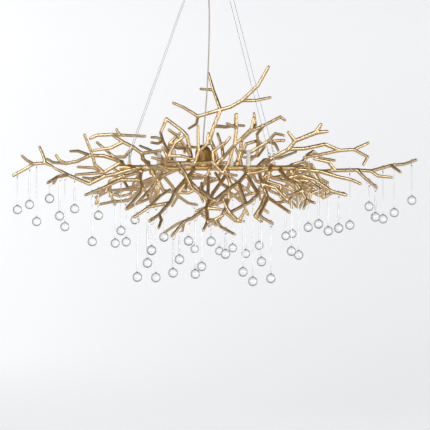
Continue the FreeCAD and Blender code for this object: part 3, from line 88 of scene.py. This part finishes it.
def addNode(tree, kind, settings=None, inputs=None):
    # inputs are values, or (node, output) pairs to link from
    node = tree.nodes.new(kind)
    for key, value in (settings or {}).items():
        setattr(node, key, value)
    for key, value in (inputs or {}).items():
        if isinstance(value, tuple) and isinstance(value[0], bpy.types.Node):
            tree.links.new(value[0].outputs[value[1]], node.inputs[key])
        else:
            node.inputs[key].default_value = value
    return node


def newMaterial(name):
    # an empty material with its shader, and the coordinates for the patterns on it
    made = bpy.data.materials.new(name)
    made.use_nodes = True
    tree = made.node_tree
    tree.nodes.clear()
    shader = addNode(tree, "ShaderNodeBsdfPrincipled")
    out = addNode(tree, "ShaderNodeOutputMaterial")
    tree.links.new(shader.outputs["BSDF"], out.inputs["Surface"])
    place = addNode(tree, "ShaderNodeTexCoord")
    return made, tree, shader, place


metal = {
    "patchGrains": 6,
    "smoother": 0.06,
    "rougher": 0.08,
    "bumpStrength": 0.5,
}


def grainedMetal(name, light, dark, roughness, grainMm, grainDepth):
    made, tree, shader, place = newMaterial(name)
    patchSize = grainMm * metal["patchGrains"] * mm
    patches = addNode(tree, "ShaderNodeTexNoise", None,
                      {"Vector": (place, "Object"), "Scale": 1 / patchSize, "Detail": 3.0})
    tint = addNode(tree, "ShaderNodeMix", {"data_type": "RGBA"}, {"Factor": (patches, "Fac")})
    tint.inputs[6].default_value = linear(dark)
    tint.inputs[7].default_value = linear(light)
    tree.links.new(tint.outputs[2], shader.inputs["Base Color"])
    grain = addNode(tree, "ShaderNodeTexNoise", None,
                    {"Vector": (place, "Object"), "Scale": 1 / (grainMm * mm), "Detail": 2.0})
    rough = addNode(tree, "ShaderNodeMapRange", None, {"Value": (grain, "Fac")})
    rough.inputs["To Min"].default_value = roughness - metal["smoother"]
    rough.inputs["To Max"].default_value = roughness + metal["rougher"]
    tree.links.new(rough.outputs["Result"], shader.inputs["Roughness"])
    bump = addNode(tree, "ShaderNodeBump", None, {"Height": (grain, "Fac"), "Distance": grainDepth * mm})
    bump.inputs["Strength"].default_value = metal["bumpStrength"]
    tree.links.new(bump.outputs["Normal"], shader.inputs["Normal"])
    shader.inputs["Metallic"].default_value = 1.0
    return made


# Sand-cast brass under a satin champagne lacquer: soft broad highlights, faintly knobbly
castBrass = grainedMetal("castChampagneBrass", "#E4CBA0", "#BC9B6B", 0.27, 2.2, 0.12)
# Drawn and spun steel under the same lacquer: smoother, more even
lacqueredSteel = grainedMetal("champagneLacqueredSteel", "#DDBE86", "#CBA869", 0.32, 1.2, 0.06)
# Spun brass, a tone darker than the other gold parts, over the hub
darkerGold = grainedMetal("darkerGoldSpunBrass", "#A98750", "#86683A", 0.42, 1.5, 0.12)
# Zinc plated steel: pale grey with a slight bloom
zincSteel = grainedMetal("zincPlatedSteel", "#C9CCCE", "#A9ADB0", 0.36, 0.8, 0.04)
# Nickel plated brass: warm grey and brighter
nickelBrass = grainedMetal("nickelPlatedBrass", "#D0CEC8", "#B9B6AE", 0.24, 0.8, 0.03)


rope = {
    "steel": "#B4B4B2",
    "roughness": 0.38,
    "strandLay": 6.0,
    "strandDepth": 0.04,
}


def strandedCable():
    # Stainless wire rope, 7 by 7: twisted strands catch the light as fine slanting lines. The lay is drawn
    # coarser than the real one, because a fine one doesn't show in the render.
    made, tree, shader, place = newMaterial("stainlessWireRope")
    twist = addNode(tree, "ShaderNodeTexWave", {"bands_direction": "DIAGONAL"},
                    {"Vector": (place, "Object"), "Scale": 1 / (rope["strandLay"] * mm), "Distortion": 0.0})
    bump = addNode(tree, "ShaderNodeBump", None,
                   {"Height": (twist, "Fac"), "Distance": rope["strandDepth"] * mm})
    tree.links.new(bump.outputs["Normal"], shader.inputs["Normal"])
    shader.inputs["Base Color"].default_value = linear(rope["steel"])
    shader.inputs["Metallic"].default_value = 1.0
    shader.inputs["Roughness"].default_value = rope["roughness"]
    return made


moulded = {
    "mottleDepth": 0.05,
    "scatter": 1.0,
}


def mouldedPlastic(name, light, dark, roughness, grainMm, transmission=0.0, subsurface=0.0):
    # also for steatite and frosted quartz, whose faint mottle is alike
    made, tree, shader, place = newMaterial(name)
    mottle = addNode(tree, "ShaderNodeTexNoise", None,
                     {"Vector": (place, "Object"), "Scale": 1 / (grainMm * mm), "Detail": 3.0})
    tint = addNode(tree, "ShaderNodeMix", {"data_type": "RGBA"}, {"Factor": (mottle, "Fac")})
    tint.inputs[6].default_value = linear(dark)
    tint.inputs[7].default_value = linear(light)
    tree.links.new(tint.outputs[2], shader.inputs["Base Color"])
    bump = addNode(tree, "ShaderNodeBump", None,
                   {"Height": (mottle, "Fac"), "Distance": moulded["mottleDepth"] * mm})
    tree.links.new(bump.outputs["Normal"], shader.inputs["Normal"])
    shader.inputs["Roughness"].default_value = roughness
    shader.inputs["Transmission Weight"].default_value = transmission
    shader.inputs["Subsurface Weight"].default_value = subsurface
    shader.inputs["Subsurface Scale"].default_value = moulded["scatter"] * mm
    return made


wireRope = strandedCable()
# Flexible PVC lead, clear jacket over pale cores: a warm translucent grey
cordJacket = mouldedPlastic("translucentLeadJacket", "#C9C2B6", "#AFA79B", 0.28, 9.0, 0.25)
# Unglazed steatite: matt, chalky white
steatite = mouldedPlastic("steatiteCeramic", "#EFEBE2", "#DDD8CC", 0.62, 3.0)
# Moulded polyamide: off-white, dull
polyamide = mouldedPlastic("mouldedPolyamide", "#E6E4DE", "#D8D6CF", 0.5, 2.0)
# Silicone sleeve on the leads: soft, cream
siliconeSleeve = mouldedPlastic("siliconeSleeve", "#E0D8C6", "#CFC6B2", 0.55, 2.0)
# Frosted quartz capsule: milky white, slightly glossy
frostedCapsule = mouldedPlastic("frostedQuartz", "#FBF8F0", "#F2EEE4", 0.35, 4.0, 0.3, 0.2)


glass = {
    "clear": "#FDFEFE",
    # painted shade: the grey that the glass's colour turns to towards its rim
    "rim": "#6B6E6A",
    "rimStart": 0.10,
    "rimFull": 0.52,
    "waveSize": 14,
    "waveDepth": 0.25,
    "waveStrength": 0.25,
}


def blownGlass():
    # Drawn and fire polished soda glass: clear and faintly wavy, with a painted grey shade towards its rim
    # that stands in for the darker surroundings seen through the rim
    made, tree, shader, place = newMaterial("firePolishedGlass")
    wave = addNode(tree, "ShaderNodeTexNoise", None,
                   {"Vector": (place, "Object"), "Scale": 1 / (glass["waveSize"] * mm), "Detail": 1.0})
    bump = addNode(tree, "ShaderNodeBump", None,
                   {"Height": (wave, "Fac"), "Distance": glass["waveDepth"] * mm})
    bump.inputs["Strength"].default_value = glass["waveStrength"]
    tree.links.new(bump.outputs["Normal"], shader.inputs["Normal"])
    # painted shade: the glass's colour turns grey towards the rim, in place of the darker surroundings seen
    # through it
    edge = addNode(tree, "ShaderNodeLayerWeight", None, {"Blend": 0.5})
    rimShadeBand = addNode(tree, "ShaderNodeMapRange", {"interpolation_type": "SMOOTHSTEP"},
                   {"Value": (edge, "Facing")})
    rimShadeBand.inputs["From Min"].default_value = glass["rimStart"]
    rimShadeBand.inputs["From Max"].default_value = glass["rimFull"]
    tint = addNode(tree, "ShaderNodeMix", {"data_type": "RGBA"}, {"Factor": (rimShadeBand, "Result")})
    tint.inputs[6].default_value = linear(glass["clear"])
    tint.inputs[7].default_value = linear(glass["rim"])
    tree.links.new(tint.outputs[2], shader.inputs["Base Color"])
    shader.inputs["Roughness"].default_value = 0.0
    shader.inputs["IOR"].default_value = 1.5
    shader.inputs["Transmission Weight"].default_value = 1.0
    return made


clearGlass = blownGlass()
print("materials made")

# Cables and cord, in millimetres on the routes of their solids; the lengths are in metres
cables = {
    "width": 2.0,
    "nearBend": 42.5,
    "front_left": {"top": (-70, -48, -16), "bend": (-70, -48, -58.5), "length": 0.578},
    "front_right": {"top": (70, -48, -16), "bend": (70, -48, -58.5), "length": 0.563},
    "back_left": {"top": (-70, 48, -16), "bend": (-70, 48, -58.5), "length": 0.578},
    "back_right": {"top": (70, 48, -16), "bend": (70, 48, -58.5), "length": 0.563},
    "reach": {"left": -256, "right": 206},
    "eyeSide": 60,
    "eyeTop": -583,
    "ferruleTop": 21.1,
}
powerCord = {
    "width": 4.4,
    "length": 0.519,
    "route": [(0, 0, -31.5), (0, 0, -60), (3, 0, -125), (2, 0, -220), (-2, 0, -330), (-9, 0, -440),
              (-17, 0, -520), (-17, 0, -550)],
}


def cordCurve(name, points, width, finish):
    curve = bpy.data.curves.new(name, "CURVE")
    curve.dimensions = "3D"
    curve.bevel_depth = width / 2 * mm
    curve.bevel_resolution = 4
    curve.resolution_u = 16
    spline = curve.splines.new("NURBS")
    spline.points.add(len(points) - 1)
    for point, place in zip(spline.points, points):
        point.co = (*(c * mm for c in place), 1)
    spline.order_u = 3
    spline.use_endpoint_u = True
    curve.materials.append(finish)
    return link(name, curve)


for corner in ("front_left", "front_right", "back_left", "back_right"):
    side, end = corner.split("_")
    facts = cables[corner]
    top, bend = Vector(facts["top"]), Vector(facts["bend"])
    eyeSide = cables["eyeSide"] if side == "back" else -cables["eyeSide"]
    eye = Vector((cables["reach"][end], eyeSide, cables["eyeTop"]))
    down = (eye - bend).normalized()
    foot = eye - down * cables["ferruleTop"]
    cable = cordCurve(f"cable_{corner}_rope", [top, bend, bend + down * cables["nearBend"], foot],
                      cables["width"], wireRope)
    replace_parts(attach(cable, "frame"), f"cable_{corner}")
lead = cordCurve("power_cord_lead", powerCord["route"], powerCord["width"], cordJacket)
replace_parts(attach(lead, "frame"), "power_cord")
print("cables and cord made")


# Copies of solids, merged and finished
mergeReach = 0.002


def mergedCopy(nodeName):
    data = nodes[nodeName].data.copy()
    data.materials.clear()
    shape = bmesh.new()
    shape.from_mesh(data)
    bmesh.ops.remove_doubles(shape, verts=shape.verts, dist=mergeReach * mm)
    shape.to_mesh(data)
    shape.free()
    return data


def applied(holder, name):
    # the object's evaluated mesh, as a plain object, without its modifiers
    graph = bpy.context.evaluated_depsgraph_get()
    data = bpy.data.meshes.new_from_object(holder.evaluated_get(graph))
    data.name = name
    bpy.data.objects.remove(holder)
    return link(name, data)


def finish(made, material, slot, body, *replaced):
    made.data.materials.clear()
    made.data.materials.append(material)
    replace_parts(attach(made, body), *replaced)
    return made


# Castings: one voxel skin over each, softened so that the forks flow into each other as cast metal does
castings = {
    "voxel": 1.5,
    "softenPasses": 10,
    "softenFactor": 0.5,
    "knobbleSize": 13,
    "knobbleDepth": 1.2,
    "names": [n for n in nodes if n.endswith("_twig")],
}
knobbles = bpy.data.textures.new("knobbles", "CLOUDS")
knobbles.noise_scale = castings["knobbleSize"] * mm
for name in castings["names"]:
    branch = link(name + "_blank", mergedCopy(name))
    skin = branch.modifiers.new("skin", "REMESH")
    skin.mode = "VOXEL"
    skin.voxel_size = castings["voxel"] * mm
    soften = branch.modifiers.new("soften", "SMOOTH")
    soften.iterations = castings["softenPasses"]
    soften.factor = castings["softenFactor"]
    swell = branch.modifiers.new("knobbles", "DISPLACE")
    swell.texture = knobbles
    swell.texture_coords = "LOCAL"
    swell.strength = castings["knobbleDepth"] * mm
    swell.mid_level = 0.0  # outwards only, so that no twig gets thinner
    cast = applied(branch, name + "_casting")
    cast.data.polygons.foreach_set("use_smooth", [True] * len(cast.data.polygons))
    finish(cast, castBrass, "cast_gold", "frame", name)
castFaces = sum(len(bpy.data.objects[name + "_casting"].data.polygons) for name in castings["names"])
print("castings made,", castFaces, "faces")

# Turned, folded and moulded parts keep their solids' shapes, with softened edges in millimetres
turned = {
    "sharpDegrees": 32,
    "edgeSteps": 2,
    "lampEdge": 0.2,
    "parts": {
        "ceiling_canopy": (0.5, lacqueredSteel, "canopy_lacquer"),
        "canopy_cap_nuts": (0.2, lacqueredSteel, "gold_lacquer"),
        "hub_dome": (0.4, darkerGold, "dark_gold"),
        "hub_plate": (0.4, lacqueredSteel, "gold_lacquer"),
        "carrying_tube": (0.15, lacqueredSteel, "gold_lacquer"),
        "cross_rails": (0.4, lacqueredSteel, "gold_lacquer"),
        "end_plugs": (0.4, lacqueredSteel, "gold_lacquer"),
        "ceiling_bracket": (0.3, zincSteel, "zinc_steel"),
        "canopy_studs": (0.1, zincSteel, "zinc_steel"),
        "bar_screws": (0.2, zincSteel, "zinc_steel"),
        "eye_bolts": (0.2, zincSteel, "zinc_steel"),
        "cable_grippers": (0.3, nickelBrass, "nickel_brass"),
        "gripper_releases": (0.2, nickelBrass, "nickel_brass"),
        "cable_ferrules": (0.15, nickelBrass, "nickel_brass"),
        "terminal_blocks": (0.5, polyamide, "white_plastic"),
        "cord_bushes": (0.3, polyamide, "clear_plastic"),
        "lamp_holders": (0.3, steatite, "ceramic"),
        "lamp_wires": (0.0, siliconeSleeve, "wire_plastic"),
    },
}


def softEdged(name, edge):
    blank = link(name + "_blank", mergedCopy(name))
    if edge:
        bevel = blank.modifiers.new("edge", "BEVEL")
        bevel.width = edge * mm
        bevel.segments = turned["edgeSteps"]
        bevel.limit_method = "ANGLE"
        bevel.angle_limit = math.radians(turned["sharpDegrees"])
        bevel.use_clamp_overlap = True
    made = applied(blank, name + "_part")
    made.data.polygons.foreach_set("use_smooth", [True] * len(made.data.polygons))
    made.data.set_sharp_from_angle(angle=math.radians(turned["sharpDegrees"]))
    return made


for name, (edge, material, slot) in turned["parts"].items():
    body = name if name in frame["bodies"] else "frame"
    finish(softEdged(name, edge), material, slot, body, name)
for lamp in ("lamp_one", "lamp_two", "lamp_three", "lamp_four"):
    finish(softEdged(lamp, turned["lampEdge"]), frostedCapsule, "lamp_glass", lamp, lamp)
print("fittings made")

# Drops: each is one line of points up the ball and the stem, and one round the hook, in millimetres.
# A tree gives the lines their glass.
drops = {
    "ballRadius": 15,
    "stemRadius": 1.8,
    "spindleRadius": 3,
    "spindlePlace": 0.35,
    "shoulderRadius": 3.4,
    "neckFade": 2.6,
    "wireRadius": 1.3,
    "hookBead": 0.25,
    "beadSharpness": 9,
    "hookSweepDegrees": 300,
    "ballRings": 40,
    "stemRings": 26,
    "ringCrowding": 1.7,
    "hookRings": 30,
    "sides": 32,
    "names": [n for n in nodes if n.endswith("_drops")],
}


def looseIslands(data):
    # vertex coordinates of each separate piece of a merged mesh
    places = np.array([v.co for v in data.vertices])
    parent = np.arange(len(places))

    def root(i):
        while parent[i] != i:
            parent[i] = parent[parent[i]]
            i = parent[i]
        return i

    for edge in data.edges:
        a, b = root(edge.vertices[0]), root(edge.vertices[1])
        parent[a] = b
    roots = np.array([root(i) for i in range(len(places))])
    return [places[roots == r] / mm for r in np.unique(roots)]


def readDrop(places):
    # one drop's ball, stem and hook, measured on its solid, in millimetres
    ball, wire = drops["ballRadius"], drops["wireRadius"]
    low, high = places[:, 2].min(), places[:, 2].max()
    nearBall = places[places[:, 2] < low + 2 * ball]
    middle = (nearBall.min(0) + nearBall.max(0)) / 2
    aside = places[:, :2] - middle[:2]
    away = np.linalg.norm(aside, axis=1)
    onHook = (places[:, 2] > low + 2.6 * ball) & (away > 2 * drops["spindleRadius"])
    furthest = np.argmax(np.where(onHook, away, 0))
    hookRadius = away[furthest] - wire
    across = aside[furthest] / away[furthest]
    hookMiddle = high - wire - hookRadius
    lowHalf = onHook & (places[:, 2] < hookMiddle - hookRadius * 0.6)
    if (aside[lowHalf] @ across).mean() < 0:
        across = -across
    stem = (places[:, 2] > low + 3.2 * ball) & (places[:, 2] < hookMiddle - hookRadius - 4 * wire)
    isSpindle = bool((away[stem] > drops["stemRadius"] * 1.3).any())
    return {
        "ball": np.array((middle[0], middle[1], low + ball)),
        "across": np.array((across[0], across[1], 0)),
        "hookRadius": hookRadius,
        "hookMiddle": hookMiddle - (low + ball),
        "isSpindle": isSpindle,
    }


def bodyLine(drop):
    # heights above the ball's middle, with the share of the ball's radius and of the stem's at each
    ball, rod = drops["ballRadius"], drops["stemRadius"]
    shoulder = math.asin(drops["shoulderRadius"] / ball)
    line = []
    for step in range(drops["ballRings"]):
        angle = (math.pi - shoulder) * step / (drops["ballRings"] - 1)
        line.append((-ball * math.cos(angle), max(math.sin(angle), 0.002), 0.0))
    foot = ball * math.cos(shoulder)
    length = drop["hookMiddle"] - drop["hookRadius"] - foot
    for step in range(1, drops["stemRings"] + 1):
        climb = (step / drops["stemRings"]) ** drops["ringCrowding"]
        rise = climb * length
        flare = (drops["shoulderRadius"] - rod) * math.exp(-rise / drops["neckFade"])
        swell = 0
        if drop["isSpindle"]:
            widest = drops["spindlePlace"]
            share = climb / widest / 2 if climb < widest else 1 - (1 - climb) / (1 - widest) / 2
            swell = (drops["spindleRadius"] - rod) * math.sin(math.pi * share) ** 2
        line.append((foot + rise, 0.0, (rod + flare + swell) / rod))
    return line


def dropLines(found):
    # all the drops of a group as lines of points with their widths
    places, edges, ballShares, rodShares = [], [], [], []
    for drop in found:
        body = bodyLine(drop)
        for step, (height, ballShare, rodShare) in enumerate(body):
            if step:
                edges.append((len(places) - 1, len(places)))
            places.append(drop["ball"] + (0, 0, height))
            ballShares.append(ballShare)
            rodShares.append(rodShare)
        for step in range(drops["hookRings"] + 1):
            share = step / drops["hookRings"]
            angle = math.radians(drops["hookSweepDegrees"] * share)
            if step:
                edges.append((len(places) - 1, len(places)))
            places.append(drop["ball"] + drop["across"] * drop["hookRadius"] * math.sin(angle)
                          + (0, 0, drop["hookMiddle"] - drop["hookRadius"] * math.cos(angle)))
            ballShares.append(0.0)
            bead = sum(math.exp(-(gap * drops["beadSharpness"]) ** 2) for gap in (1 - share, share))
            rodShares.append(drops["wireRadius"] / drops["stemRadius"] + drops["hookBead"] * bead)
    data = bpy.data.meshes.new("dropLines")
    data.from_pydata([tuple(p * mm) for p in places], edges, [])
    for name, values in (("ballShare", ballShares), ("rodShare", rodShares)):
        data.attributes.new(name, "FLOAT", "POINT").data.foreach_set("value", values)
    return data


def glassTree():
    tree = bpy.data.node_groups.new("glassDrops", "GeometryNodeTree")
    for label, kind in (("Lines", "Geometry"), ("Ball Radius", "Float"), ("Rod Radius", "Float"),
                        ("Sides", "Int"), ("Glass", "Material")):
        tree.interface.new_socket(label, in_out="INPUT", socket_type="NodeSocket" + kind)
    tree.interface.new_socket("Drops", in_out="OUTPUT", socket_type="NodeSocketGeometry")
    start = addNode(tree, "NodeGroupInput")
    ballShare, rodShare = [addNode(tree, "GeometryNodeInputNamedAttribute", {"data_type": "FLOAT"},
                                   {"Name": name}) for name in ("ballShare", "rodShare")]
    rod = addNode(tree, "ShaderNodeMath", {"operation": "MULTIPLY"},
                  {0: (rodShare, 0), 1: (start, "Rod Radius")})
    width = addNode(tree, "ShaderNodeMath", {"operation": "MULTIPLY_ADD"},
                    {0: (ballShare, 0), 1: (start, "Ball Radius"), 2: (rod, 0)})
    curves = addNode(tree, "GeometryNodeMeshToCurve", None, {0: (start, "Lines")})
    circle = addNode(tree, "GeometryNodeCurvePrimitiveCircle", None,
                     {"Resolution": (start, "Sides"), "Radius": 1.0})
    swept = addNode(tree, "GeometryNodeCurveToMesh", None,
                    {"Curve": (curves, 0), "Profile Curve": (circle, 0), "Scale": (width, 0),
                     "Fill Caps": True})
    smooth = addNode(tree, "GeometryNodeSetShadeSmooth", None, {"Geometry": (swept, 0)})
    real = addNode(tree, "GeometryNodeRealizeInstances", None, {"Geometry": (smooth, 0)})
    glazed = addNode(tree, "GeometryNodeSetMaterial", None,
                     {"Geometry": (real, 0), "Material": (start, "Glass")})
    addNode(tree, "NodeGroupOutput", None, {0: (glazed, 0)})
    return tree


glassDrops = glassTree()
treeInputs = {
    "Ball Radius": drops["ballRadius"] * mm,
    "Rod Radius": drops["stemRadius"] * mm,
    "Sides": drops["sides"],
    "Glass": clearGlass,
}
for name in drops["names"]:
    found = [readDrop(places) for places in looseIslands(mergedCopy(name))]
    holder = link(name + "_lines", dropLines(found))
    maker = holder.modifiers.new("drops", "NODES")
    maker.node_group = glassDrops
    for item in glassDrops.interface.items_tree:
        if item.in_out == "INPUT" and item.name in treeInputs:
            maker[item.identifier] = treeInputs[item.name]
    finish(applied(holder, name + "_glass"), clearGlass, "clear_glass", name, name)
    print(name, len(found), "drops,", sum(drop["isSpindle"] for drop in found), "with a spindle")

# Studio: a pale round sweep of paper, a large soft light over the left shoulder, a weaker one opposite, a low
# strip light in front, and one that brightens the paper on the left
studio = {
    "floorHeight": -1.62,
    "radius": 5.6,
    "sweepRadius": 2.4,
    "sweepSteps": 16,
    "top": 2.6,
    "sides": 72,
    "paper": "#C4C4C4",
    "paperLit": "#F8F9FB",
    "paperDim": 0.32,
    "paperGlow": 0.555,
    "air": "#FAFBFF",
    "airGlow": 0.16,
    "airSeen": 0.8,
    "aim": (0, 0, -0.7),
    "lights": {
        "keyLight": {"place": (-1.8, -2.6, 1.0), "size": (1.7, 1.7), "watts": 45},
        "fillLight": {"place": (2.2, -2.4, 0.1), "size": (1.2, 1.6), "watts": 29},
        "lowLight": {"place": (-0.4, -3.9, -0.9), "aim": (0, 0, -0.5), "size": (3.0, 0.5), "watts": 24},
        "paperLight": {"place": (-2.6, 2.0, 1.1), "aim": (-1.9, 5.6, -0.8), "size": (2.0, 2.0), "watts": 50},
    },
}


def brightWhereSeen(tree, dim, bright):
    # pale to the eye and through glass, and dimmer where it only lights and reflects
    rays = addNode(tree, "ShaderNodeLightPath")
    seen = addNode(tree, "ShaderNodeMath", {"operation": "ADD", "use_clamp": True},
                   {0: (rays, "Is Camera Ray"), 1: (rays, "Is Transmission Ray")})
    strength = addNode(tree, "ShaderNodeMapRange", None, {"Value": (seen, 0)})
    strength.inputs["To Min"].default_value = dim
    strength.inputs["To Max"].default_value = bright
    return strength, "Result"


def paperSweep():
    # floor, curve and wall in one, turned round the lamp from a profile
    inner = studio["radius"] - studio["sweepRadius"]
    profile = [(inner * share, studio["floorHeight"]) for share in (0.1, 0.5)]
    for step in range(studio["sweepSteps"] + 1):
        angle = math.radians(-90 + 90 * step / studio["sweepSteps"])
        profile.append((inner + studio["sweepRadius"] * math.cos(angle),
                        studio["floorHeight"] + studio["sweepRadius"] * (1 + math.sin(angle))))
    profile.append((studio["radius"], studio["top"]))
    sides, places, faces = studio["sides"], [], []
    for ring, (reach, height) in enumerate(profile):
        for side in range(sides):
            angle = math.tau * side / sides
            places.append((reach * math.cos(angle), reach * math.sin(angle), height))
            if ring:
                here, back = ring * sides, (ring - 1) * sides
                onward = (side + 1) % sides
                faces.append((back + side, here + side, here + onward, back + onward))
    faces.append(tuple(range(sides)))
    data = bpy.data.meshes.new("paperSweep")
    data.from_pydata(places, [], faces)
    data.polygons.foreach_set("use_smooth", [True] * len(faces))
    made, tree, shader = newMaterial("paperSweep")[:3]
    shader.inputs["Base Color"].default_value = linear(studio["paper"])
    shader.inputs["Roughness"].default_value = 0.9
    shader.inputs["Emission Color"].default_value = linear(studio["paperLit"])
    node, output = brightWhereSeen(tree, studio["paperDim"], studio["paperGlow"])
    tree.links.new(node.outputs[output], shader.inputs["Emission Strength"])
    data.materials.append(made)
    link("paperSweep", data)


def softLight(name, facts):
    data = bpy.data.lights.new(name, "AREA")
    data.shape = "RECTANGLE"
    data.size, data.size_y = facts["size"]
    data.energy = facts["watts"]
    made = link(name, data)
    made.location = facts["place"]
    way = Vector(facts.get("aim", studio["aim"])) - Vector(facts["place"])
    made.rotation_euler = way.to_track_quat("-Z", "Y").to_euler()
    made.visible_camera = False


paperSweep()
for name, facts in studio["lights"].items():
    softLight(name, facts)
world = bpy.data.worlds.new("studioAir")
world.use_nodes = True
worldTree = world.node_tree
worldTree.nodes.clear()
air = addNode(worldTree, "ShaderNodeBackground", None,
              {"Strength": brightWhereSeen(worldTree, studio["airGlow"], studio["airSeen"])})
air.inputs["Color"].default_value = linear(studio["air"])
addNode(worldTree, "ShaderNodeOutputWorld", None, {"Surface": (air, 0)})
bpy.context.scene.world = world
bpy.context.scene.view_settings.view_transform = "Standard"
print("studio made")
